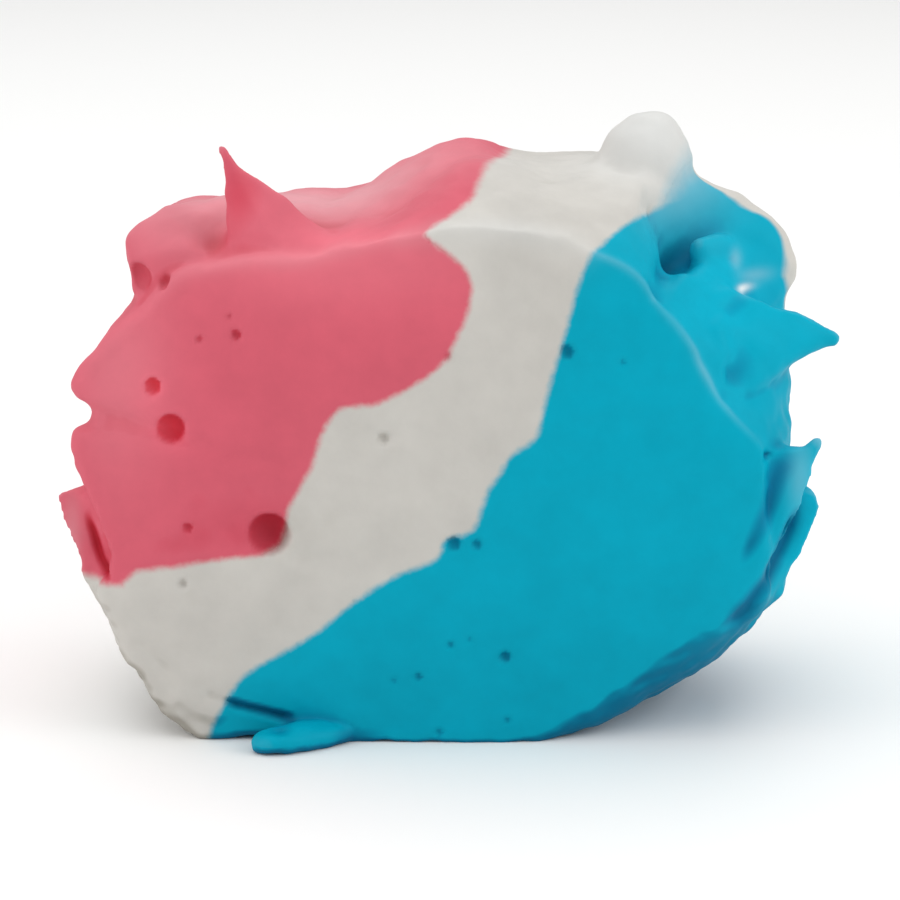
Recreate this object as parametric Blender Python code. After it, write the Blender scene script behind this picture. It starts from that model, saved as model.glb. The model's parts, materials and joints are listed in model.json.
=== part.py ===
"""Salt water taffy: one unwrapped, three-coloured sweet standing on its rim.

The sweet is a short length cut from a pulled rope of soft taffy. Its two round ends are
knife cuts, so they are nearly flat and show opened air bubbles. Its side is the skin of
the rope, torn into peaks, leaves and lips where the paper was pulled off. Three stripes,
pink, white and blue, run through the rope from end to end, and each is a solid of its own.

Run it with: blender --background --python part.py
"""

import math
from dataclasses import dataclass

import bmesh
import bpy
import numpy as np

MM = 0.001

# Sizes in millimetres. The front cut lies at depth 0 and faces -Y; depth grows along +Y.
THICKNESS = 17.0
AXIS_HEIGHT = 11.6
STRIPE_GAP = 0.3
# The middle of the finished sweet, which the build moves to the origin
MIDDLE = (0.50, 8.29)

# Each ring is a list of (degrees, millimetres) round the rope's axis: 0 points along +X and
# 90 points up. The front cut's own edge, from the axis:
FRONT_EDGE = [
    (0, 14.6), (9, 14.6), (16, 13.8), (24, 13.2), (32, 13.1), (41, 13.2), (50, 13.5),
    (60, 13.2), (70, 13.0), (84, 12.6), (96, 12.3), (108, 12.3), (122, 13.1), (133, 15.0), (141, 15.9), (152, 16.0), (162, 17.7),
    (165, 16.5), (170, 17.3), (176, 15.9), (184, 15.2), (193, 15.5), (205, 16.1), (217, 16.2),
    (228, 15.5), (240, 14.1), (252, 13.0), (263, 12.2), (275, 12.1), (287, 12.4), (300, 12.8),
    (315, 13.5), (330, 14.3), (345, 14.9),
]  # fmt: skip
# The far cut's edge, which nobody sees in the picture, is a plainer oval.
BACK_EDGE = [
    (0, 15.0), (30, 15.6), (60, 14.4), (90, 12.6), (120, 13.6), (150, 15.8), (180, 15.6),
    (215, 14.9), (245, 12.6), (270, 11.9), (300, 12.6), (330, 14.4),
]  # fmt: skip
# How far the rope's skin stands out between its two cuts
FLARE = [
    (0, 1.7), (14, 2.3), (27, 3.4), (40, 4.0), (52, 3.8), (64, 2.6), (78, 1.9), (90, 2.0),
    (100, 1.0), (110, 0.4), (120, 1.1), (130, 2.1), (140, 2.3), (150, 1.1), (160, -0.4),
    (175, -0.5), (190, 0.5), (205, 0.9), (225, 0.9), (250, 0.4), (275, 0.2), (300, 1.0),
    (318, 1.8), (335, 1.7),
]  # fmt: skip
# The round-over between the front cut and the skin: crisp on top, soft on the left
FRONT_CORNER = [(0, 0.7), (50, 0.25), (120, 0.25), (150, 0.9), (200, 0.9), (240, 0.7), (300, 0.8)]
BACK_CORNER = 0.9
# How far the front cut's edge lies behind its middle
FRONT_CROWN = [(0, 0.6), (60, 0.3), (115, 0.3), (150, 1.7), (170, 1.6), (210, 0.8), (270, 0.2), (330, 0.5)]
BACK_CROWN = 0.9

# Where along a meridian, from -1 at the front cut's middle to 1 at the far cut's, the
# corner begins and where the skin begins
CORNER_STARTS = 0.70
SKIN_STARTS = 0.60

# Long shallow folds that the twisted paper pressed into the skin:
# (height, folds round the rope, folds along it, phase in radians)
SKIN_FOLDS = [(0.16, 5, 1.3, 0.6), (0.12, 9, -0.9, 2.1), (0.09, 14, 1.7, 4.0), (0.06, 23, 2.6, 1.2)]

AROUND = 90
ALONG = 30


@dataclass
class Dent:
    """A smooth hollow pressed towards the rope's axis."""

    place: tuple
    radius: float
    depth: float


DENTS = [
    Dent(place=(11.6, 4.2, 21.8), radius=2.6, depth=3.0),
    Dent(place=(15.2, 5.0, 15.2), radius=2.2, depth=1.0),
    Dent(place=(-11.2, 2.8, 23.4), radius=1.7, depth=0.7),
    Dent(place=(-4.0, 5.5, 24.2), radius=3.0, depth=0.5),
    Dent(place=(-15.0, 11.5, 16.0), radius=2.6, depth=0.8),
    Dent(place=(12.0, 13.5, 20.0), radius=2.8, depth=0.9),
]


@dataclass
class Pull:
    """Taffy drawn out of the skin: a peak, a leaf or a lip, along a bent line."""

    root: tuple
    bend: tuple
    tip: tuple
    half_width: float
    half_depth: float
    wide_way: tuple
    taper: float
    end_round: float = 0.10


PULLS = {
    # Peaks drawn to a point
    "tall_peak": Pull((-8.0, 2.2, 20.6), (-8.9, 2.2, 23.4), (-9.9, 3.0, 27.0), 2.9, 1.9, (1, 0, 0), 1.6, 0.06),
    "side_peak": Pull((8.2, 3.6, 17.6), (14.2, 3.2, 18.6), (18.4, 5.8, 17.6), 3.9, 1.7, (0, 0, 1), 1.1, 0.06),
    "horn": Pull((15.4, 4.6, 10.4), (17.0, 4.5, 11.6), (17.4, 4.4, 13.4), 0.9, 0.9, (1, 0, 0), 0.8),
    "far_peak": Pull((7.6, 14.6, 22.4), (8.4, 16.2, 23.4), (9.6, 18.4, 23.6), 1.8, 1.5, (1, 0, 0), 1.3, 0.06),
    # Leaves that lie along the torn edges
    "left_leaf": Pull((-13.9, 2.6, 6.4), (-15.2, 1.2, 9.4), (-17.4, 1.3, 12.0), 1.4, 1.1, (1, 0, 0), 0.5),
    "right_leaf_inner": Pull((13.8, 2.2, 7.6), (15.2, 1.9, 10.2), (16.9, 3.4, 13.3), 1.1, 1.3, (1, 0, 0), 0.4),
    "right_leaf_outer": Pull((12.9, 3.6, 5.0), (15.9, 3.4, 7.4), (17.1, 4.6, 12.0), 1.1, 1.4, (1, 0, 0), 0.35),
    "foot_leaf": Pull((-1.8, 1.4, 1.0), (-5.6, -0.7, 1.0), (-9.1, -1.0, 0.6), 0.95, 1.2, (0, 0, 1), 0.1, 0.2),
    "far_leaf_left": Pull((-13.0, 13.8, 8.2), (-15.0, 15.8, 10.4), (-15.4, 18.0, 13.4), 0.9, 1.5, (1, 0, 0), 0.4),
    "far_leaf_right": Pull((12.8, 13.6, 5.4), (15.2, 15.8, 8.0), (15.6, 17.8, 11.6), 0.9, 1.4, (1, 0, 0), 0.4),
    # Thick lips and the round knob on top
    "top_lip": Pull((9.0, 9.6, 23.6), (16.2, 8.9, 23.6), (14.9, 7.2, 18.9), 1.6, 1.7, (1, 0, 0), 0.05, 0.22),
    "knob": Pull((8.8, 9.2, 22.8), (9.6, 9.3, 25.4), (10.1, 9.2, 27.8), 2.6, 2.0, (1, 0, 0), 0.25, 0.42),
}
PULL_AROUND = 12
PULL_ALONG = 10

# Opened air bubbles: (x, height, radius) on each cut, at their places in the picture on the
# front one; a bubble's middle lies a third of its radius behind the cut
FRONT_BUBBLES = [
    (-12.9, 16.9, 0.50), (-12.2, 15.0, 0.80), (-7.8, 10.3, 0.98), (-9.2, 19.1, 0.26),
    (-11.5, 10.4, 0.26), (5.6, 18.4, 0.40), (0.6, 9.6, 0.40), (2.9, 4.2, 0.34),
    (-2.6, 14.5, 0.34), (-1.1, 3.3, 0.26),
]  # fmt: skip
BACK_BUBBLES = [
    (-9.4, 14.2, 0.70), (-6.6, 17.8, 0.42), (-1.8, 12.2, 0.50), (7.4, 8.8, 0.84),
    (9.6, 13.6, 0.42), (3.2, 16.9, 0.55),
]  # fmt: skip
# Bubbles opened at the left edge: (x, depth, height, radius)
EDGE_BUBBLES = [(-16.9, 0.9, 15.6, 0.95), (-13.9, 1.2, 21.4, 0.62), (-12.0, 0.7, 20.9, 0.45)]
BUBBLE_SINK = 0.33



@dataclass
class Border:
    """Where two stripes meet.

    The line is its (x, height) points on the front cut, from top to bottom. The border's top
    leans to the right by lean millimetres at mid depth, growing with depth to the given
    power, and by back_lean more at the far cut.
    """

    line: list
    lean: float
    power: float
    back_lean: float


PINK_BORDER = Border(
    line=[
        (-0.4, 32.0), (-0.4, 25.0), (-0.2, 23.7), (1.1, 21.9), (1.2, 20.2), (-0.4, 17.3),
        (-4.2, 15.7), (-6.0, 13.4), (-7.4, 11.0), (-8.7, 8.9), (-12.6, 8.2), (-14.4, 7.8),
        (-15.4, 7.9), (-24.0, 8.4),
    ],
    lean=3.4,
    power=0.6,
    back_lean=1.0,
)  # fmt: skip
BLUE_BORDER = Border(
    line=[
        (6.9, 32.0), (6.8, 24.4), (6.0, 21.8), (5.2, 17.6), (4.2, 14.6), (2.4, 12.8), (1.0, 10.2),
        (-1.8, 8.1), (-4.6, 6.3), (-7.8, 4.0), (-9.6, 2.4), (-10.6, 0.6), (-11.2, -2.0),
    ],
    lean=5.6,
    power=1.0,
    back_lean=5.5,
)  # fmt: skip
LEAN_STARTS = 6.0
LEAN_FULL = 24.0
BORDER_POINTS = 42
BORDER_LAYERS = 6
OUTSIDE = 40.0
BELOW = -6.0
MARGIN = 5.0

# Principled BSDF colours (linear), measured on the cut faces
COLOURS = {
    "taffy_pink": (0.66, 0.11, 0.15),
    "taffy_white": (0.72, 0.70, 0.66),
    "taffy_blue": (0.002, 0.36, 0.52),
}
ROUGHNESS = 0.55


def clear_scene():
    """Removes whatever the scene holds."""
    for obj in list(bpy.data.objects):
        bpy.data.objects.remove(obj)


def ring(knots, degrees):
    """Smooth closed curve through (degrees, value) knots, read at an array of angles."""
    at = np.array([k[0] for k in knots], float)
    value = np.array([k[1] for k in knots], float)
    count = len(at)
    turned = np.mod(degrees - at[0], 360.0) + at[0]
    left = np.clip(np.searchsorted(at, turned, side="right") - 1, 0, count - 1)
    right = (left + 1) % count
    gap = np.mod(at[right] - at[left], 360.0)
    share = (turned - at[left]) / gap
    slope = (np.roll(value, -1) - np.roll(value, 1)) / np.mod(np.roll(at, -1) - np.roll(at, 1), 360.0)
    a = 2 * share**3 - 3 * share**2 + 1
    b = share**3 - 2 * share**2 + share
    c = -2 * share**3 + 3 * share**2
    d = share**3 - share**2
    return a * value[left] + b * gap * slope[left] + c * value[right] + d * gap * slope[right]


def smooth_line(points, count):
    """Catmull-Rom curve through 2D points, as count points evenly spread over the knots."""
    knots = np.array(points, float)
    padded = np.vstack([2 * knots[0] - knots[1], knots, 2 * knots[-1] - knots[-2]])
    place = np.linspace(0, len(knots) - 1, count)
    left = np.minimum(place.astype(int), len(knots) - 2)
    t = (place - left)[:, None]
    p0, p1, p2, p3 = (padded[left + i] for i in range(4))
    return 0.5 * (
        2 * p1 + (p2 - p0) * t + (2 * p0 - 5 * p1 + 4 * p2 - p3) * t**2 + (3 * p1 - p0 - 3 * p2 + p3) * t**3
    )


def puck_points(degrees, along):
    """Points of the bare sweet: an angle round the axis, and -1 to 1 from cut to cut."""
    front, back = ring(FRONT_EDGE, degrees), ring(BACK_EDGE, degrees)
    flare, corner = ring(FLARE, degrees), ring(FRONT_CORNER, degrees)
    crown = ring(FRONT_CROWN, degrees)
    face = np.clip((along + 1) / (1 - CORNER_STARTS), 0, 1)
    turn = np.clip((along + CORNER_STARTS) / (CORNER_STARTS - SKIN_STARTS), 0, 1) * math.pi / 2
    skin = np.clip((along + SKIN_STARTS) / (2 * SKIN_STARTS), 0, 1)
    far_turn = np.clip((along - SKIN_STARTS) / (CORNER_STARTS - SKIN_STARTS), 0, 1) * math.pi / 2
    far_face = np.clip((along - CORNER_STARTS) / (1 - CORNER_STARTS), 0, 1)

    bulge = 1 - (2 * skin - 1) ** 2
    folds = sum(
        height * np.sin(np.radians(degrees) * round_count + 2 * math.pi * along_count * skin + phase)
        for height, round_count, along_count, phase in SKIN_FOLDS
    )
    radius = (
        (front - corner) * face
        + corner * np.sin(turn)
        + (back - front) * skin
        + (flare + folds) * bulge
        - BACK_CORNER * (1 - np.cos(far_turn))
        - (back - BACK_CORNER) * far_face
    )
    skin_length = THICKNESS - crown - corner - BACK_CORNER - BACK_CROWN
    depth = (
        crown * face**3
        + corner * (1 - np.cos(turn))
        + skin_length * skin
        + BACK_CORNER * np.sin(far_turn)
        + BACK_CROWN * (1 - (1 - far_face) ** 3)
    )
    angle = np.radians(degrees)
    points = np.stack([radius * np.cos(angle), depth, AXIS_HEIGHT + radius * np.sin(angle)], axis=-1)
    for dent in DENTS:
        points = pressed(points, dent)
    points[:, 2] = np.maximum(points[:, 2], 0.0)
    return points


def pressed(points, dent):
    """Moves points near a dent towards the rope's axis, by a bell-shaped amount."""
    away = np.linalg.norm(points - np.array(dent.place), axis=1)
    amount = dent.depth * np.exp(-((away / dent.radius) ** 2))
    inward = np.array([0.0, 0.0, AXIS_HEIGHT]) - points * np.array([1.0, 0.0, 1.0])
    inward /= np.maximum(np.linalg.norm(inward, axis=1, keepdims=True), 1e-6)
    return points + inward * amount[:, None]


def placed(points):
    """Millimetres from the front cut to metres from the finished sweet's origin."""
    return (np.asarray(points, float) - np.array([MIDDLE[0], MIDDLE[1], 0.0])) * MM


def ball(name, around, along, shape):
    """A unit sphere whose points are pulled into a form: shape gets their angle and height."""
    mesh = bpy.data.meshes.new(name)
    bm = bmesh.new()
    bmesh.ops.create_uvsphere(bm, u_segments=around, v_segments=along, radius=1.0)
    co = np.array([v.co for v in bm.verts], float)
    longitude = np.arctan2(co[:, 1], co[:, 0])
    height = np.arcsin(np.clip(co[:, 2], -1, 1)) / (math.pi / 2)
    for vert, point in zip(bm.verts, placed(shape(longitude, height))):
        vert.co = point
    bm.to_mesh(mesh)
    bm.free()
    return bpy.data.objects.new(name, mesh)


def pull_points(pull, longitude, height):
    """Points of a pull: a flattened round section carried along its bent line."""
    t = ((height + 1) / 2)[:, None]
    root, bend, tip = (np.array(p, float) for p in (pull.root, pull.bend, pull.tip))
    line = (1 - t) ** 2 * root + 2 * t * (1 - t) * bend + t**2 * tip
    ahead = 2 * (1 - t) * (bend - root) + 2 * t * (tip - bend)
    ahead /= np.linalg.norm(ahead, axis=1, keepdims=True)
    deep = np.cross(ahead, np.array(pull.wide_way, float))
    deep /= np.linalg.norm(deep, axis=1, keepdims=True)
    wide = np.cross(deep, ahead)
    ends = np.minimum(t, 1 - t) / pull.end_round
    closing = np.sqrt(np.clip(1 - (1 - np.minimum(ends, 1)) ** 2, 0, 1))
    size = closing * (1 - t * 0.98) ** pull.taper
    turn = longitude[:, None]
    points = line + size * (np.cos(turn) * pull.half_width * wide + np.sin(turn) * pull.half_depth * deep)
    points[:, 2] = np.maximum(points[:, 2], 0.0)
    return points


def bubble(name, place, radius):
    """A round cutter for one air bubble."""
    mesh = bpy.data.meshes.new(name)
    bm = bmesh.new()
    bmesh.ops.create_icosphere(bm, subdivisions=2, radius=radius * MM)
    bmesh.ops.translate(bm, verts=bm.verts, vec=placed(place))
    bm.to_mesh(mesh)
    bm.free()
    return bpy.data.objects.new(name, mesh)


def cut_depth(x, height):
    """Depth of the front cut's surface at a place on it."""
    away, angle = math.hypot(x, height - AXIS_HEIGHT), math.degrees(math.atan2(height - AXIS_HEIGHT, x))
    degrees = np.array([angle])
    edge = ring(FRONT_EDGE, degrees) - ring(FRONT_CORNER, degrees)
    return float((ring(FRONT_CROWN, degrees) * (away / edge) ** 3)[0])


def border_sheet(border, offset):
    """Grid of points of a border through the whole depth, moved sideways by offset.

    Rows run from in front of the sweet to behind it.
    """
    line = smooth_line(border.line, BORDER_POINTS)
    step = np.gradient(line, axis=0)
    side = np.stack([-step[:, 1], step[:, 0]], axis=1)
    line = line + offset * side / np.linalg.norm(side, axis=1, keepdims=True)
    share = np.clip((line[:, 1] - LEAN_STARTS) / (LEAN_FULL - LEAN_STARTS), 0, 1) ** 1.2
    middle = THICKNESS / 2
    rows = []
    for depth in np.linspace(0.0, THICKNESS, BORDER_LAYERS):
        lean = border.lean * (depth / middle) ** border.power
        lean += border.back_lean * max(0.0, depth / middle - 1)
        rows.append(np.stack([line[:, 0] + share * lean, np.full(BORDER_POINTS, depth), line[:, 1]], axis=1))
    return np.array([rows[0] - (0, MARGIN, 0), *rows, rows[-1] + (0, MARGIN, 0)])


def stripe_zone(name, border, offset, outward):
    """Closed block on one side of a border: outward is -1 for the left of it, 1 for the right.

    The block is a loft. Each row of the border sheet is closed round the outside of the
    sweet by three far corners, and the first and last rows are filled.
    """
    sheet = border_sheet(border, offset)
    bm = bmesh.new()
    loops = []
    for row in sheet:
        depth, side = row[0][1], outward * OUTSIDE
        foot = BELOW if outward > 0 else row[-1][2] + 0.5
        corners = [(row[-1][0] + outward, depth, foot), (side, depth, foot), (side, depth, row[0][2] + 0.5)]
        loops.append([bm.verts.new(placed(p)) for p in [*row, *corners]])
    for near, far in zip(loops, loops[1:]):
        for i in range(len(near)):
            k = (i + 1) % len(near)
            bm.faces.new((near[i], near[k], far[k], far[i]))
    bm.faces.new(loops[0])
    bm.faces.new(reversed(loops[-1]))
    bmesh.ops.triangulate(bm, faces=[f for f in bm.faces if len(f.verts) > 4])
    bmesh.ops.recalc_face_normals(bm, faces=bm.faces)
    mesh = bpy.data.meshes.new(name)
    bm.to_mesh(mesh)
    bm.free()
    return bpy.data.objects.new(name, mesh)


def collection(name, objects, helper):
    """Links objects into a new collection; helpers are kept out of the build and the render."""
    made = bpy.data.collections.new(name)
    bpy.context.scene.collection.children.link(made)
    for obj in objects:
        made.objects.link(obj)
        if helper:
            obj.hide_render = True
            obj.display_type = "WIRE"
    return made


def boolean(obj, operation, operand, solver="EXACT"):
    """Applies one Boolean modifier to obj, with an object or a collection as its operand."""
    modifier = obj.modifiers.new(operation.lower(), "BOOLEAN")
    modifier.operation = operation
    modifier.solver = solver
    if isinstance(operand, bpy.types.Collection):
        modifier.operand_type = "COLLECTION"
        modifier.collection = operand
    else:
        modifier.object = operand
    bpy.context.view_layer.update()
    graph = bpy.context.evaluated_depsgraph_get()
    mesh = bpy.data.meshes.new_from_object(obj.evaluated_get(graph))
    obj.modifiers.clear()
    obj.data = mesh


def discard(group):
    """Removes a collection and its objects, once a Boolean has used them."""
    for obj in list(group.objects):
        bpy.data.objects.remove(obj)
    bpy.data.collections.remove(group)


def whole_sweet():
    """The sweet in one piece: the bare form, its pulls fused on and its bubbles cut."""
    sweet = ball("sweet", AROUND, ALONG, lambda turn, height: puck_points(np.degrees(turn), -height))
    bpy.context.scene.collection.objects.link(sweet)
    pulls = [
        ball(name, PULL_AROUND, PULL_ALONG, lambda turn, height, p=pull: pull_points(p, turn, height))
        for name, pull in PULLS.items()
    ]
    group = collection("pulls", pulls, helper=True)
    boolean(sweet, "UNION", group)
    discard(group)

    cutters = [
        bubble(f"front_bubble_{i}", (x, cut_depth(x, z) + BUBBLE_SINK * r, z), r)
        for i, (x, z, r) in enumerate(FRONT_BUBBLES)
    ]
    cutters += [
        bubble(f"back_bubble_{i}", (x, THICKNESS - BUBBLE_SINK * r, z), r)
        for i, (x, z, r) in enumerate(BACK_BUBBLES)
    ]
    cutters += [
        bubble(f"edge_bubble_{i}", (x, y, z), r) for i, (x, y, z, r) in enumerate(EDGE_BUBBLES)
    ]
    group = collection("bubbles", cutters, helper=True)
    boolean(sweet, "DIFFERENCE", group)
    discard(group)
    return sweet


def material(name):
    """Plain matt taffy of one stripe's colour."""
    made = bpy.data.materials.new(name)
    made.use_nodes = True
    shader = made.node_tree.nodes["Principled BSDF"]
    shader.inputs["Base Color"].default_value = (*COLOURS[name], 1.0)
    shader.inputs["Roughness"].default_value = ROUGHNESS
    shader.inputs["Metallic"].default_value = 0.0
    return made


def stripes(sweet):
    """The three stripes, cut from the whole sweet along their borders with a gap between."""
    half_gap = STRIPE_GAP / 2
    zones = {
        "pink_side": stripe_zone("pink_side", PINK_BORDER, -half_gap, -1),
        "past_pink": stripe_zone("past_pink", PINK_BORDER, half_gap, 1),
        "blue_side": stripe_zone("blue_side", BLUE_BORDER, half_gap, 1),
        "before_blue": stripe_zone("before_blue", BLUE_BORDER, -half_gap, -1),
    }
    helpers = collection("stripe_zones", zones.values(), helper=True)
    wanted = {
        "taffy_pink": ["pink_side"],
        "taffy_white": ["past_pink", "before_blue"],
        "taffy_blue": ["blue_side"],
    }
    made = []
    for name, sides in wanted.items():
        stripe = bpy.data.objects.new(name, sweet.data.copy())
        bpy.context.scene.collection.objects.link(stripe)
        for side in sides:
            boolean(stripe, "INTERSECT", zones[side], solver="MANIFOLD")
        bpy.context.scene.collection.objects.unlink(stripe)
        stripe.data.materials.clear()
        stripe.data.materials.append(material(name))
        stripe.data.shade_smooth()
        stripe.data.set_sharp_from_angle(angle=math.radians(40))
        made.append(stripe)
    discard(helpers)
    return made


def main():
    clear_scene()
    sweet = whole_sweet()
    pieces = stripes(sweet)
    bpy.data.objects.remove(sweet)
    collection("salt_water_taffy", pieces, helper=False)


main()
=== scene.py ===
"""Salt water taffy, dressed: one unwrapped sweet with a pink, a white and a blue stripe.

The sweet is modelled in millimetres, in the coordinates of its front cut: x to the right, y
from the front cut (0) to the back cut, z up from the surface it stands on. It is made the way
the real one comes about. A length of rope is cut off, taffy is pulled out of its skin into
peaks, leaves and lips, all of it fuses into one soft body, creases and bubbles mark that body,
and the body is parted along the stripes' borders.
"""

from __future__ import annotations

import json
import logging
import math
from dataclasses import dataclass, field
from enum import Enum

import bmesh
import bpy
import numpy as np
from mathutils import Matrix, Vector

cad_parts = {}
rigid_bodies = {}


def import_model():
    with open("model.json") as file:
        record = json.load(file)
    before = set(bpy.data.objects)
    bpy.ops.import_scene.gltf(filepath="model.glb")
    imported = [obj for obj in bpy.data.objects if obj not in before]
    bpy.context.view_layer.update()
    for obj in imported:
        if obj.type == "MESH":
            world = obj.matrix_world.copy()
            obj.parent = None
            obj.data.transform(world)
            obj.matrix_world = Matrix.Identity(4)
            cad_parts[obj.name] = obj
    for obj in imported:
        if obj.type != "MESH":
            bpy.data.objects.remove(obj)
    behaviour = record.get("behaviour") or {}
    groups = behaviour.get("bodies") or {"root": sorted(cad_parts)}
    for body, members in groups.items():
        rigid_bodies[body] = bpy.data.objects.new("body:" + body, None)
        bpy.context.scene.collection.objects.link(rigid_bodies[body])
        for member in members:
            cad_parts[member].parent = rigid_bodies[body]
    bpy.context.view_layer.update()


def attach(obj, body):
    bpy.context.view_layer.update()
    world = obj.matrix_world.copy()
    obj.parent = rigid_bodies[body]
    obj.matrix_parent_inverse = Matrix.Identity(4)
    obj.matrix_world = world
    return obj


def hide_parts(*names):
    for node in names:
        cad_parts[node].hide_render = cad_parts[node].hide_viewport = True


log = logging.getLogger("taffy")

MM = 0.001
# The middle of the sweet in the front cut's coordinates, in millimetres, as the frame has it
MIDDLE = (0.50, 8.29)

Point = tuple[float, float, float]
Knot = tuple[float, float]


def kept(*values: object) -> object:
    """A dataclass field whose value starts as a list of these values."""
    return field(default_factory=lambda: list(values))


def ring(knots: list[Knot], degrees: np.ndarray) -> np.ndarray:
    """Smooth closed curve through its knots: a cubic Hermite with each knot's mean slope.

    Args:
        knots: (degrees, value) pairs round the circle.
        degrees: Angles to read the curve at.

    Returns:
        The curve's value at each angle.
    """
    at, value = np.array(knots, float).T
    gaps = np.mod(np.roll(at, -1) - at, 360.0)
    slope = (np.roll(value, -1) - np.roll(value, 1)) / (gaps + np.roll(gaps, 1))
    turned = np.mod(degrees - at[0], 360.0) + at[0]
    left = np.clip(np.searchsorted(at, turned, side="right") - 1, 0, len(at) - 1)
    right = (left + 1) % len(at)
    t = (turned - at[left]) / gaps[left]
    return (
        (2 * t**3 - 3 * t**2 + 1) * value[left]
        + (t**3 - 2 * t**2 + t) * gaps[left] * slope[left]
        + (3 * t**2 - 2 * t**3) * value[right]
        + (t**3 - t**2) * gaps[left] * slope[right]
    )


def spline(knots: list, t: np.ndarray) -> np.ndarray:
    """Catmull-Rom curve through any number of knots of any dimension.

    Args:
        knots: Points or values that the curve passes through.
        t: Places on the curve, from 0 at the first knot to 1 at the last.

    Returns:
        One row for each place.
    """
    fixed = np.array(knots, float)
    fixed = fixed[:, None] if fixed.ndim == 1 else fixed
    padded = np.vstack([2 * fixed[0] - fixed[1], fixed, 2 * fixed[-1] - fixed[-2]])
    place = np.clip(t, 0, 1) * (len(fixed) - 1)
    left = np.minimum(place.astype(int), len(fixed) - 2)
    u = (place - left)[:, None]
    a, b, c, d = (padded[left + i] for i in range(4))
    cubic = 2 * b + (c - a) * u + (2 * a - 5 * b + 4 * c - d) * u**2 + (3 * b - a - 3 * c + d) * u**3
    return 0.5 * cubic


def unit(vectors: np.ndarray) -> np.ndarray:
    """The same vectors, one unit long."""
    return vectors / np.maximum(np.linalg.norm(vectors, axis=-1, keepdims=True), 1e-9)


def smoothstep(low: float, high: float, value: np.ndarray) -> np.ndarray:
    """0 below low, 1 above high and an S-shaped rise between them."""
    t = np.clip((value - low) / (high - low), 0, 1)
    return t * t * (3 - 2 * t)


def ripple(points: np.ndarray, wavelength: float, seed: int, waves: int = 22) -> np.ndarray:
    """Soft random relief: the sum of sine waves that run in random directions.

    Args:
        points: Places to read the relief at.
        wavelength: About how far apart its crests lie.
        seed: Chooses the directions, lengths and phases.
        waves: How many waves are added up.

    Returns:
        The relief at each point, mostly between -1.5 and 1.5.
    """
    rng = np.random.default_rng(seed)
    heading = unit(rng.normal(size=(waves, 3)))
    length = wavelength * rng.uniform(0.7, 1.5, waves)
    phase = rng.uniform(0, 2 * math.pi, waves)
    waves_at = points @ (heading * (2 * math.pi / length)[:, None]).T + phase
    return np.sin(waves_at).sum(axis=1) * math.sqrt(2 / waves) * 0.7


def to_line(points: np.ndarray, line: np.ndarray) -> tuple[np.ndarray, np.ndarray]:
    """Distance from points to a polyline, and how far along it each nearest place is.

    Args:
        points: One row each, of 2 or 3 coordinates.
        line: The polyline's points, in order.

    Returns:
        The distances, and the places as 0 at the line's start to 1 at its end.
    """
    start, step = line[:-1], np.diff(line, axis=0)
    length2 = np.maximum((step**2).sum(axis=1), 1e-12)
    best, place = np.empty(len(points)), np.empty(len(points))
    chunk = 20000
    for low in range(0, len(points), chunk):
        away = points[low : low + chunk, None, :] - start[None]
        t = np.clip((away * step).sum(axis=2) / length2, 0, 1)
        gap2 = ((away - t[..., None] * step) ** 2).sum(axis=2)
        nearest = gap2.argmin(axis=1)
        rows = np.arange(len(nearest))
        best[low : low + chunk] = np.sqrt(gap2[rows, nearest])
        place[low : low + chunk] = (nearest + t[rows, nearest]) / len(step)
    return best, place


def linked(name: str, data: bpy.types.ID) -> bpy.types.Object:
    """A new object that holds this data, linked to the scene."""
    made = bpy.data.objects.new(name, data)
    bpy.context.scene.collection.objects.link(made)
    return made


def turn_outwards(mesh: bpy.types.Mesh, split: bool = False) -> None:
    """Turns a mesh's faces outwards.

    Args:
        mesh: The mesh to change.
        split: Whether its faces are split into triangles first.
    """
    turned = bmesh.new()
    turned.from_mesh(mesh)
    if split:
        bmesh.ops.triangulate(turned, faces=turned.faces)
    bmesh.ops.recalc_face_normals(turned, faces=turned.faces)
    turned.to_mesh(mesh)
    turned.free()


def grid_quads(rings: int, around: int) -> np.ndarray:
    """The quads between neighbouring rings of a grid, whose rings close on themselves.

    Args:
        rings: How many rings the grid has.
        around: How many points each ring has.

    Returns:
        Four vertex numbers a row.
    """
    first = np.arange(rings - 1)[:, None] * around
    near, beside = first + np.arange(around), first + (np.arange(around) + 1) % around
    return np.stack([near, beside, beside + around, near + around], axis=-1).reshape(-1, 4)


def closed_surface(name: str, rows: np.ndarray) -> bpy.types.Object:
    """A closed body from a grid of rings, with a pole of triangles at each end.

    Args:
        name: The object's name.
        rows: Rings of points, shape (rings, around, 3); the first and last are tiny.

    Returns:
        The new object, linked to the scene.
    """
    rings, around = rows.shape[:2]
    points = np.vstack([rows.reshape(-1, 3), rows[0].mean(axis=0), rows[-1].mean(axis=0)])
    edge, next_edge = np.arange(around), (np.arange(around) + 1) % around
    last = (rings - 1) * around
    first_pole = np.stack([np.full(around, rings * around), next_edge, edge], axis=-1)
    last_pole = np.stack([np.full(around, rings * around + 1), last + edge, last + next_edge], axis=-1)
    return add_mesh(name, points, grid_quads(rings, around), np.vstack([first_pole, last_pole]))


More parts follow.
